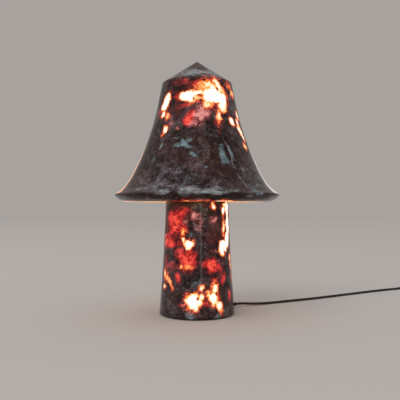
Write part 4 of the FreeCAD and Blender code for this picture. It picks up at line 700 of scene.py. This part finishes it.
# The ground: teal and pale patches, grey mottled and smooth brown areas, with painted shade and painted
# reflection on the lip, and painted shade near the shade's left edge and at the stem's top; and one pale line
# on each piece, a healed crack on the stem and a painted reflection on the shade
SHADE_TEAL = [
    (-19, 245, 6, 3, 1, -10), (-14, 250, 3.8, 6.6, 0.9, 30), (-8, 251, 5, 2.6, 0.9, 35),
    (-9, 244, 5.5, 2.6, 1, -10), (-12, 247, 6.7, 4.4, 0.8, 0), (-3, 232, 5.6, 2.8, 1, -25),
    (25, 241, 4, 6.6, 1, 0), (24, 231, 4, 8.7, 1, 8), (26, 225, 6.3, 6, 1, 10), (34, 237, 2.9, 10, 0.95, 14),
    (25, 247, 3.2, 2.2, 0.8, 0), (-39, 245, 2.3, 5.6, 0.8, -25), (-43, 227, 4, 6.7, 0.6, -6),
    (42, 180, 6.5, 4.5, 1, -45), (-20, 255, 7, 3, 0.55, 0), (8, 215, 3, 1.5, 0.8, 0), (6, 182, 22, 3, 0.5, 0),
    (-30, 184, 10, 3, 0.45, 0),
]
SHADE_PALE = [
    # Broken band above the lip; then on the lip short pale streaks and, along its lower edge, thin lines of
    # painted reflection
    (-22, 180, 10.7, 3.5, 0.95, 4), (-6, 183, 11.5, 4, 1, 0), (2, 181, 10.3, 4, 1, 0),
    (10, 179.5, 20, 2.4, 0.95, 0), (12, 185, 9.6, 3, 0.95, 0), (-30, 198, 1.8, 1.4, 1, 0),
    (-28, 223, 1.5, 1.2, 0.9, 0), (-19, 188, 10, 2, 0.6, 0), (-42, 185, 14, 3, 0.6, 0),
    (52, 190, 10, 4, 0.5, 0), (66, 196, 10, 16, 0.45, 0), (45, 178, 4, 4, 0.7, -40), (24, 183, 12, 3, 0.6, 0),
    (-4, 187, 22, 2, 0.6, 0), (-40, 169.5, 60, 1.3, 0.55, 0), (48, 169.5, 50, 1.3, 0.5, 0),
    (4, 170, 16, 1.6, 0.6, 0), (-7, 178, 9, 3.5, 0.55, 0), (-34, 172, 7, 1.6, 0.7, 3),
    (36, 175, 6, 2, 0.7, -4), (-58, 174, 9, 1.6, 0.6, 2), (62, 173, 9, 1.8, 0.7, -2),
    # Band round the cap
    (-11, 357, 17, 6.5, 1, 0), (-15, 351, 12, 4.5, 0.9, 0), (15, 356, 12, 5, 0.8, 0),
    (42, 356, 12, 6, 0.8, 0),
]
SHADE_GREY = [
    (-18, 204, 22, 10, 0.7, 0), (-51, 255, 13, 18, 0.7, 0), (7, 240, 20, 7, 0.6, 0),
    (45, 208, 17, 22, 0.6, 0), (-5, 211, 8, 8, 0.8, 0), (-45, 204, 12, 10, 0.2, 0), (62, 204, 14, 30, 0.9, 0),
    (-14, 192, 30, 7, 0.75, 0), (-8, 262, 24, 9, 0.5, 0), (0, 352, 60, 12, 0.6, 0),
]
SHADE_SMOOTH = [
    (-17, 231, 21, 12, 0.9, 0), (24, 211, 24, 10, 0.6, 0), (10, 252, 22, 10, 0.4, 0),
    (30, 338, 20, 4, 0.5, 0),
]
SHADE_DARK = [
    # The lip, darkened all round, dark stone and painted shade; dark ground under the cap and elsewhere; and
    # two strips near the shade's left edge, painted shade
    (0, 172.5, 500, 5.5, 1.0, 0), (-14, 178.5, 5, 5, 0.9, 0), (29, 238, 2.8, 10, 1, 14),
    (-30, 338, 26, 7, 0.3, 0), (46, 196, 14, 6, 0.5, -20), (-43, 215, 12, 20, 0.35, -8),
    (-66, 205, 12, 28, 0.9, -14), (-66, 245, 12, 40, 0.85, -8), (-25, 300, 8, 10, 0.5, 0),
]
# The shade's pale line: a painted reflection, a thin streak down the right of the bell
SHADE_SHINE_LINE = [
    (24, 300), (27, 283), (27.7, 276), (28.5, 265), (29.1, 255), (32.3, 245), (33.8, 234), (33.2, 219),
    (34.4, 211), (35.6, 200), (37.2, 192), (38.4, 185),
]
STEM_TEAL = [
    (2, 161, 6.8, 5.7, 0.5, 0), (13, 156, 5.8, 4.6, 0.45, 0), (-5, 125, 5.7, 5.7, 0.5, 0),
    (10, 111, 4.6, 6.8, 0.4, 0), (-11, 120, 3.5, 3.4, 0.5, 0), (-9, 46, 7, 4.5, 0.5, 0),
    (2, 53, 5.6, 3.4, 0.5, 0), (17, 142, 4.8, 6.8, 0.4, 0),
]
STEM_PALE = [
    (-10, 6, 5.7, 5.6, 0.95, 0), (32, 5, 5.4, 4, 0.9, 0), (-1, 131, 7, 7, 0.55, 0), (50, 9, 9, 7, 0.5, 0),
]
STEM_GREY = [
    (5, 140, 12, 34, 1.0, 0), (0, 50, 16, 10, 0.8, 0), (20, 10, 40, 9, 0.6, 0), (-60, 140, 8, 40, 0.2, 0),
]
STEM_SMOOTH = [
    (26, 113, 16.5, 17, 0.8, 0), (-35, 33, 26, 18, 0.8, 0), (-49, 46, 18, 10, 0.7, 0), (4, 69, 12, 9, 0.5, 0),
]
# Dark ground; at the stem's top, under the shade's rim, painted shade; and a thin band, darker all round the
# foot's lower edge
STEM_DARK = [
    (-30, 30, 22, 14, 0.5, 0), (-40, 168, 30, 8, 0.6, 0), (-62, 96, 5, 30, 0.5, 0), (50, 128, 5, 26, 0.5, 0),
    (0, 3, 300, 2, 0.6, 0), (44, 24, 5, 12, 0.7, 0), (14, 120, 10, 12, 0.4, 0),
]
STEM_CRACK = [
    (-58, 32), (-46, 24), (-38, 18), (-30, 14),
]


# A mark wider than this, by its half width, is a band that goes all the way round
BAND_MM = 55
# The far side's marks are turned this far and pushed this far at most, in waves up and round the stone
BACK_TURN = 176
BACK_SHIFT = 14
SHIFT_WAVE_MM = 23
SHIFT_WAVE_DEGREES = 19


def round_the_back(marks, lift, low, high):
    """The marks, turned to the far side and pushed about, so that it is as rich as the front and unlike it.

    Azimuth a goes to a + 176 + 14 sin(h / 23 mm), and height h to h + lift + 14 sin(a / 19 degrees + 1).
    A band has no copy."""
    copies = []
    for azimuth, height, half_width, *others in marks:
        if half_width > BAND_MM:
            continue
        far_azimuth = azimuth + BACK_TURN + BACK_SHIFT * math.sin(height / SHIFT_WAVE_MM)
        far_height = height + lift + BACK_SHIFT * math.sin(azimuth / SHIFT_WAVE_DEGREES + 1)
        copies.append((far_azimuth, min(max(far_height, low), high), half_width, *others))
    return copies


# How far the outlines of each table's marks wander. What is added to the seed only keeps the fields apart
BRIGHT_RAGGED_MM = 3.4
GRAINS_RAGGED_MM = 0.8
RAGGED_MM = {"ember": 3.5, "rose": 3.5, "teal": 1.6, "pale": 2.2, "grey": 6, "smooth": 5, "dark": 3}
# A grain takes away this many times the light, so that its middle is dark
GRAIN_DEPTH = 1.3


def stone_marks(piece, points_mm, tables, lift, low, high, inside, seed):
    """Puts the strength of each table's marks, in front and behind, on the mesh for the material to read."""
    both = {name: marks + round_the_back(marks, lift, low, high)
            for name, marks in tables.items() if name != "crack_and_shine_line"}
    light = hard_marks(points_mm, both["light"], BRIGHT_RAGGED_MM, seed)
    grains = soft_marks(points_mm, both["grains"], GRAINS_RAGGED_MM, seed + 3)
    put_attribute(piece, "light", light - GRAIN_DEPTH * grains * np.maximum(light, 0))
    for step, (name, ragged_mm) in enumerate(RAGGED_MM.items()):
        put_attribute(piece, name, soft_marks(points_mm, both[name], ragged_mm, seed + 5 + step))
    crack_and_shine_wander = uneven(points_mm, CRACK_AND_SHINE_CELL_MM, seed + 30, 2, CRACK_AND_SHINE_WANDER_MM)
    put_attribute(piece, "crack_and_shine_mm", line_distance(points_mm, tables["crack_and_shine_line"]) + crack_and_shine_wander)
    put_attribute(piece, "inside", inside)


def row_of_point(outline_mm, around):
    """The outline row that each vertex of a turned piece came from."""
    count = np.where(outline_mm[:, 0] < ON_AXIS_MM, 1, around)
    return np.repeat(np.arange(len(outline_mm)), count)


# Points round each ring
SHADE_AROUND = 320
STEM_AROUND = 288
# Light on the shade's inner wall: everywhere, more beside the upper bulb, and more at the mouth's edge
INNER_LIGHT, BULB_RISE, MOUTH_RISE = 0.70, 0.2, 0.15
# Heights over which these two fall away
BULB_FALL_MM, MOUTH_FALL_MM = 80, 4

shade_rows = profile(SHADE_START, SHADE_OUTLINE) + np.array([0.0, RIM_MM])
shade, shade_points = turned_piece("shade_marble", shade_rows, SHADE_AROUND, "shade", STONE)
shade_row = row_of_point(shade_rows, SHADE_AROUND)
outer_rows = 1 + sum(step[-1] for step in SHADE_OUTLINE[:SHADE_OUTER_STEPS])
upper_bulb = sum(corner.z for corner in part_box("upper_bulb_glass")) / 2 / MM
inner_light = np.exp(-((shade_points[:, 2] - upper_bulb) / BULB_FALL_MM) ** 2) * BULB_RISE + INNER_LIGHT
inner_light += MOUTH_RISE * np.exp(-(shade_points[:, 2] - RIM_MM) / MOUTH_FALL_MM)
stone_marks(shade, shade_points,
            {"light": SHADE_LIGHT, "grains": SHADE_GRAINS, "ember": SHADE_EMBER, "rose": SHADE_ROSE,
             "teal": SHADE_TEAL, "pale": SHADE_PALE, "grey": SHADE_GREY, "smooth": SHADE_SMOOTH,
             "dark": SHADE_DARK, "crack_and_shine_line": SHADE_SHINE_LINE},
            lift=5, low=172, high=346, seed=3,
            inside=np.where((shade_row >= outer_rows) | (shade_row == 0), inner_light, 0.0))
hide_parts("shade_stone")

# Notch in the foot for the cord, in degrees and mm. Its block goes through the wall from inside to outside
NOTCH_AZIMUTH = 130
NOTCH_WIDTH = 7.0
NOTCH_BOTTOM, NOTCH_TOP = -5, 8.5
NOTCH_START, NOTCH_END = 30, 70


def cut_notch(piece):
    """Cuts the notch, a block that stands out from the axis, and gives the piece's new points in mm."""
    turn = math.radians(NOTCH_AZIMUTH)
    out = np.array([math.sin(turn), -math.cos(turn), 0])
    side = np.array([-out[1], out[0], 0]) * NOTCH_WIDTH / 2
    ends = ((NOTCH_START, -1), (NOTCH_END, -1), (NOTCH_END, 1), (NOTCH_START, 1))
    corners = np.array([out * reach + side * share + np.array([0, 0, level])
                        for level in (NOTCH_BOTTOM, NOTCH_TOP) for reach, share in ends])
    faces = [(3, 2, 1, 0), (4, 5, 6, 7), (0, 1, 5, 4), (1, 2, 6, 5), (2, 3, 7, 6), (3, 0, 4, 7)]
    block_mesh = bpy.data.meshes.new("notch_block")
    block_mesh.from_pydata((corners * MM).tolist(), [], faces)
    block = bpy.data.objects.new("notch_block", block_mesh)
    bpy.context.scene.collection.objects.link(block)
    difference = piece.modifiers.new("notch", "BOOLEAN")
    difference.object = block
    difference.solver = "EXACT"
    cut = bpy.data.meshes.new_from_object(piece.evaluated_get(bpy.context.evaluated_depsgraph_get()))
    piece.modifiers.clear()
    piece.data = cut
    cut.set_sharp_from_angle(angle=SHARP_ANGLE)
    bpy.data.objects.remove(block)
    bpy.data.meshes.remove(block_mesh)
    place = np.empty(len(cut.vertices) * 3)
    cut.vertices.foreach_get("co", place)
    return place.reshape(-1, 3) / MM


# The middle of the stem's wall: its radius at the foot and how much it leans in over the stem's height
WALL_MIDDLE_MM, WALL_LEAN_MM, STEM_HEIGHT_MM = 50.7, 10.2, 197
# Light on the bore's wall
BORE_LIGHT = 0.55

stem, _ = turned_piece("stem_marble", profile(STEM_START, STEM_OUTLINE), STEM_AROUND, "base", STONE)
stem_points = cut_notch(stem)
# A point is on the bore's side when it is nearer to the axis than the middle of the wall
wall_middle = WALL_MIDDLE_MM - WALL_LEAN_MM * stem_points[:, 2] / STEM_HEIGHT_MM
stone_marks(stem, stem_points,
            {"light": STEM_LIGHT, "grains": STEM_GRAINS, "ember": STEM_EMBER, "rose": STEM_ROSE,
             "teal": STEM_TEAL, "pale": STEM_PALE, "grey": STEM_GREY, "smooth": STEM_SMOOTH,
             "dark": STEM_DARK, "crack_and_shine_line": STEM_CRACK},
            lift=8, low=10, high=168, seed=7,
            inside=np.where(np.hypot(stem_points[:, 0], stem_points[:, 1]) < wall_middle, BORE_LIGHT, 0.0))
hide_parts("stem_stone")

# Cords. The points are the cord's control points, in metres


def cord_piece(name, points, radius, body):
    """Round cord along a smooth line with those control points."""
    curve = bpy.data.curves.new(name, "CURVE")
    curve.dimensions = "3D"
    curve.bevel_depth = radius
    curve.bevel_resolution = 4
    curve.resolution_u = 6
    curve.use_fill_caps = True
    spline = curve.splines.new("NURBS")
    spline.points.add(len(points) - 1)
    for point, place in zip(spline.points, points):
        point.co = tuple(place) + (1.0,)
    spline.order_u = 3
    spline.use_endpoint_u = True
    curve.materials.append(FINISHES["cord_sheath"])
    piece = bpy.data.objects.new(name, curve)
    bpy.context.scene.collection.objects.link(piece)
    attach(piece, body)
    return piece


CORD_RADIUS = 0.002

LAMP_CORD_POINTS = [
    (0.061284, 0.051423, 0.0050), (0.070476, 0.059136, 0.0050), (0.0880, 0.0648, 0.0031),
    (0.1120, 0.0750, 0.0020), (0.1460, 0.0940, 0.0020), (0.1880, 0.1160, 0.0020), (0.2320, 0.1430, 0.0020),
    (0.2770, 0.1720, 0.0020), (0.3200, 0.2005, 0.0020), (0.3600, 0.2240, 0.0020), (0.3910, 0.2400, 0.0020),
    (0.4090, 0.2476, 0.0049), (0.4235, 0.2526, 0.0065), (0.4353, 0.2564, 0.0065),
]
COIL_CORD_POINTS = [
    (0.49431, 0.2754, 0.0065), (0.5048, 0.27878, 0.0065), (0.5210, 0.2795, 0.0043), (0.5370, 0.2695, 0.0029),
    (0.5466, 0.2520, 0.0028), (0.5495, 0.2330, 0.0028), (0.5495, 0.2210, 0.0028),
]
# The coil: its centre, its outer radius, how much the radius changes in a turn, and its two layers' heights
COIL_CENTRE = (0.5165, 0.2170)
COIL_RADIUS = 0.033
COIL_STEP = 0.0045
COIL_LEVELS = (0.0028, 0.00722)
COIL_TURNS = 8
COIL_POINTS_PER_TURN = 16
# Length of the straight end after the last turn
COIL_EXIT = 0.016


def coil_points():
    """Flat coil wound in for four turns and out again on top.

    After t turns the radius is 33 mm - 4.5 mm (4 - |4 - t|), and the height goes from one level to the other
    within the half turn about the middle, as 3 s^2 - 2 s^3."""
    turn = np.arange(0, COIL_TURNS * COIL_POINTS_PER_TURN + 1) / COIL_POINTS_PER_TURN
    middle = COIL_TURNS / 2
    radius = COIL_RADIUS - COIL_STEP * (middle - np.abs(middle - turn))
    rise = np.clip((turn - (middle - 0.25)) * 2, 0, 1)
    rise = rise * rise * (3 - 2 * rise)
    height = COIL_LEVELS[0] + (COIL_LEVELS[1] - COIL_LEVELS[0]) * rise
    angle = -2 * math.pi * turn
    x, y = COIL_CENTRE
    return np.stack([x + radius * np.cos(angle), y + radius * np.sin(angle), height], 1)


turns = [tuple(point) for point in coil_points()]
leaving = [(COIL_CENTRE[0] + COIL_RADIUS, COIL_CENTRE[1] - along, COIL_LEVELS[1])
           for along in (COIL_EXIT / 2, COIL_EXIT)]
lamp_cord = cord_piece("lamp_cord_sheath", LAMP_CORD_POINTS, CORD_RADIUS, "base")
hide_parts("lamp_cord")
coil_cord = cord_piece("plug_cord_sheath", COIL_CORD_POINTS + turns + leaving, CORD_RADIUS, "base")
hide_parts("coil_cord", "cord_coil")

# CAD nodes that keep their shape get the finish of their slot

for node in NODES.values():
    for place in node.material_slots:
        if place.material and place.material.name in FINISHES:
            place.material = FINISHES[place.material.name]

# Floor, backdrop and light


def floor_paint():
    """Floor paint: pale grey, matt, with no shine."""
    material, tree, shader = new_material("pale_floor_paint")
    fill(tree, shader, base_color="#b6b0ac", roughness=0.9, specular_ior_level=0.0)
    return material


BACKDROP_COLOUR = "#a8a29e"
# The floor is a disc, in metres
FLOOR_RADIUS = 9
FLOOR_SIDES = 128
floor_turn = 2 * math.pi * np.arange(FLOOR_SIDES) / FLOOR_SIDES
floor_edge = FLOOR_RADIUS * np.stack([np.cos(floor_turn), np.sin(floor_turn), 0 * floor_turn], 1)
floor_mesh = bpy.data.meshes.new("floor")
floor_mesh.from_pydata(floor_edge.tolist(), [], [tuple(range(FLOOR_SIDES))])
floor_mesh.materials.append(floor_paint())
floor = bpy.data.objects.new("floor", floor_mesh)
bpy.context.scene.collection.objects.link(floor)

world = bpy.data.worlds.new("studio")
world.use_nodes = True
world_tree = world.node_tree
world_tree.nodes.clear()
rays = add(world_tree, "LightPath")
seen = sums(world_tree, "MAXIMUM", rays.outputs["Is Camera Ray"], rays.outputs["Is Glossy Ray"])
seen = sums(world_tree, "MAXIMUM", seen, rays.outputs["Is Transmission Ray"])
soft = add(world_tree, "Background", color="#ffffff", strength=0.80)
backdrop = add(world_tree, "Background", color=BACKDROP_COLOUR, strength=1.0)
chosen = add(world_tree, "MixShader", i0=seen, i1=soft.outputs[0], i2=backdrop.outputs[0])
add(world_tree, "OutputWorld", surface=chosen.outputs[0])
bpy.context.scene.world = world


def panel(name, place, aim, size, power, glossy, colour="#ffffff"):
    """Soft rectangular lamp at a place, turned towards another: a light, or only a shine in the polish."""
    data = bpy.data.lights.new(name, "AREA")
    data.shape = "RECTANGLE"
    data.size, data.size_y = size
    data.energy = power
    data.color = linear(colour)[:3]
    lamp = bpy.data.objects.new(name, data)
    lamp.location = place
    way = np.array(aim) - np.array(place)
    yaw = math.atan2(way[0], way[1])
    pitch = math.atan2(way[2], math.hypot(way[0], way[1]))
    lamp.rotation_euler = (math.radians(90) + pitch, 0, -yaw)
    lamp.visible_camera = False
    lamp.visible_glossy = glossy
    lamp.visible_diffuse = not glossy
    bpy.context.scene.collection.objects.link(lamp)


# A large panel lights the left side. A narrow strip on the right gives the polish its thin upright highlight
panel("key_panel", (-2.7, -3.1, 4.3), (0, 0, 0.15), (3.4, 3.4), 92, False)
panel("window_strip", (0.21, -0.87, 0.15), (0, 0, 0.15), (0.10, 1.0), 0.65, True)
# Three dim panels behind it shine in the polish along its edges, warm on the left
panel("warm_edge_panel", (-0.24, 0.55, 0.30), (0, 0, 0.2), (0.12, 0.10), 0.05, True, "#ffb48c")
panel("stem_edge_panel", (-0.19, 0.55, 0.09), (0, 0, 0.1), (0.04, 0.16), 0.02, True, "#ff9f7c")
panel("pale_edge_panel", (0.26, 0.55, 0.29), (0, 0, 0.2), (0.12, 0.12), 0.045, True, "#f6ece4")

bpy.context.scene.view_settings.view_transform = "Standard"
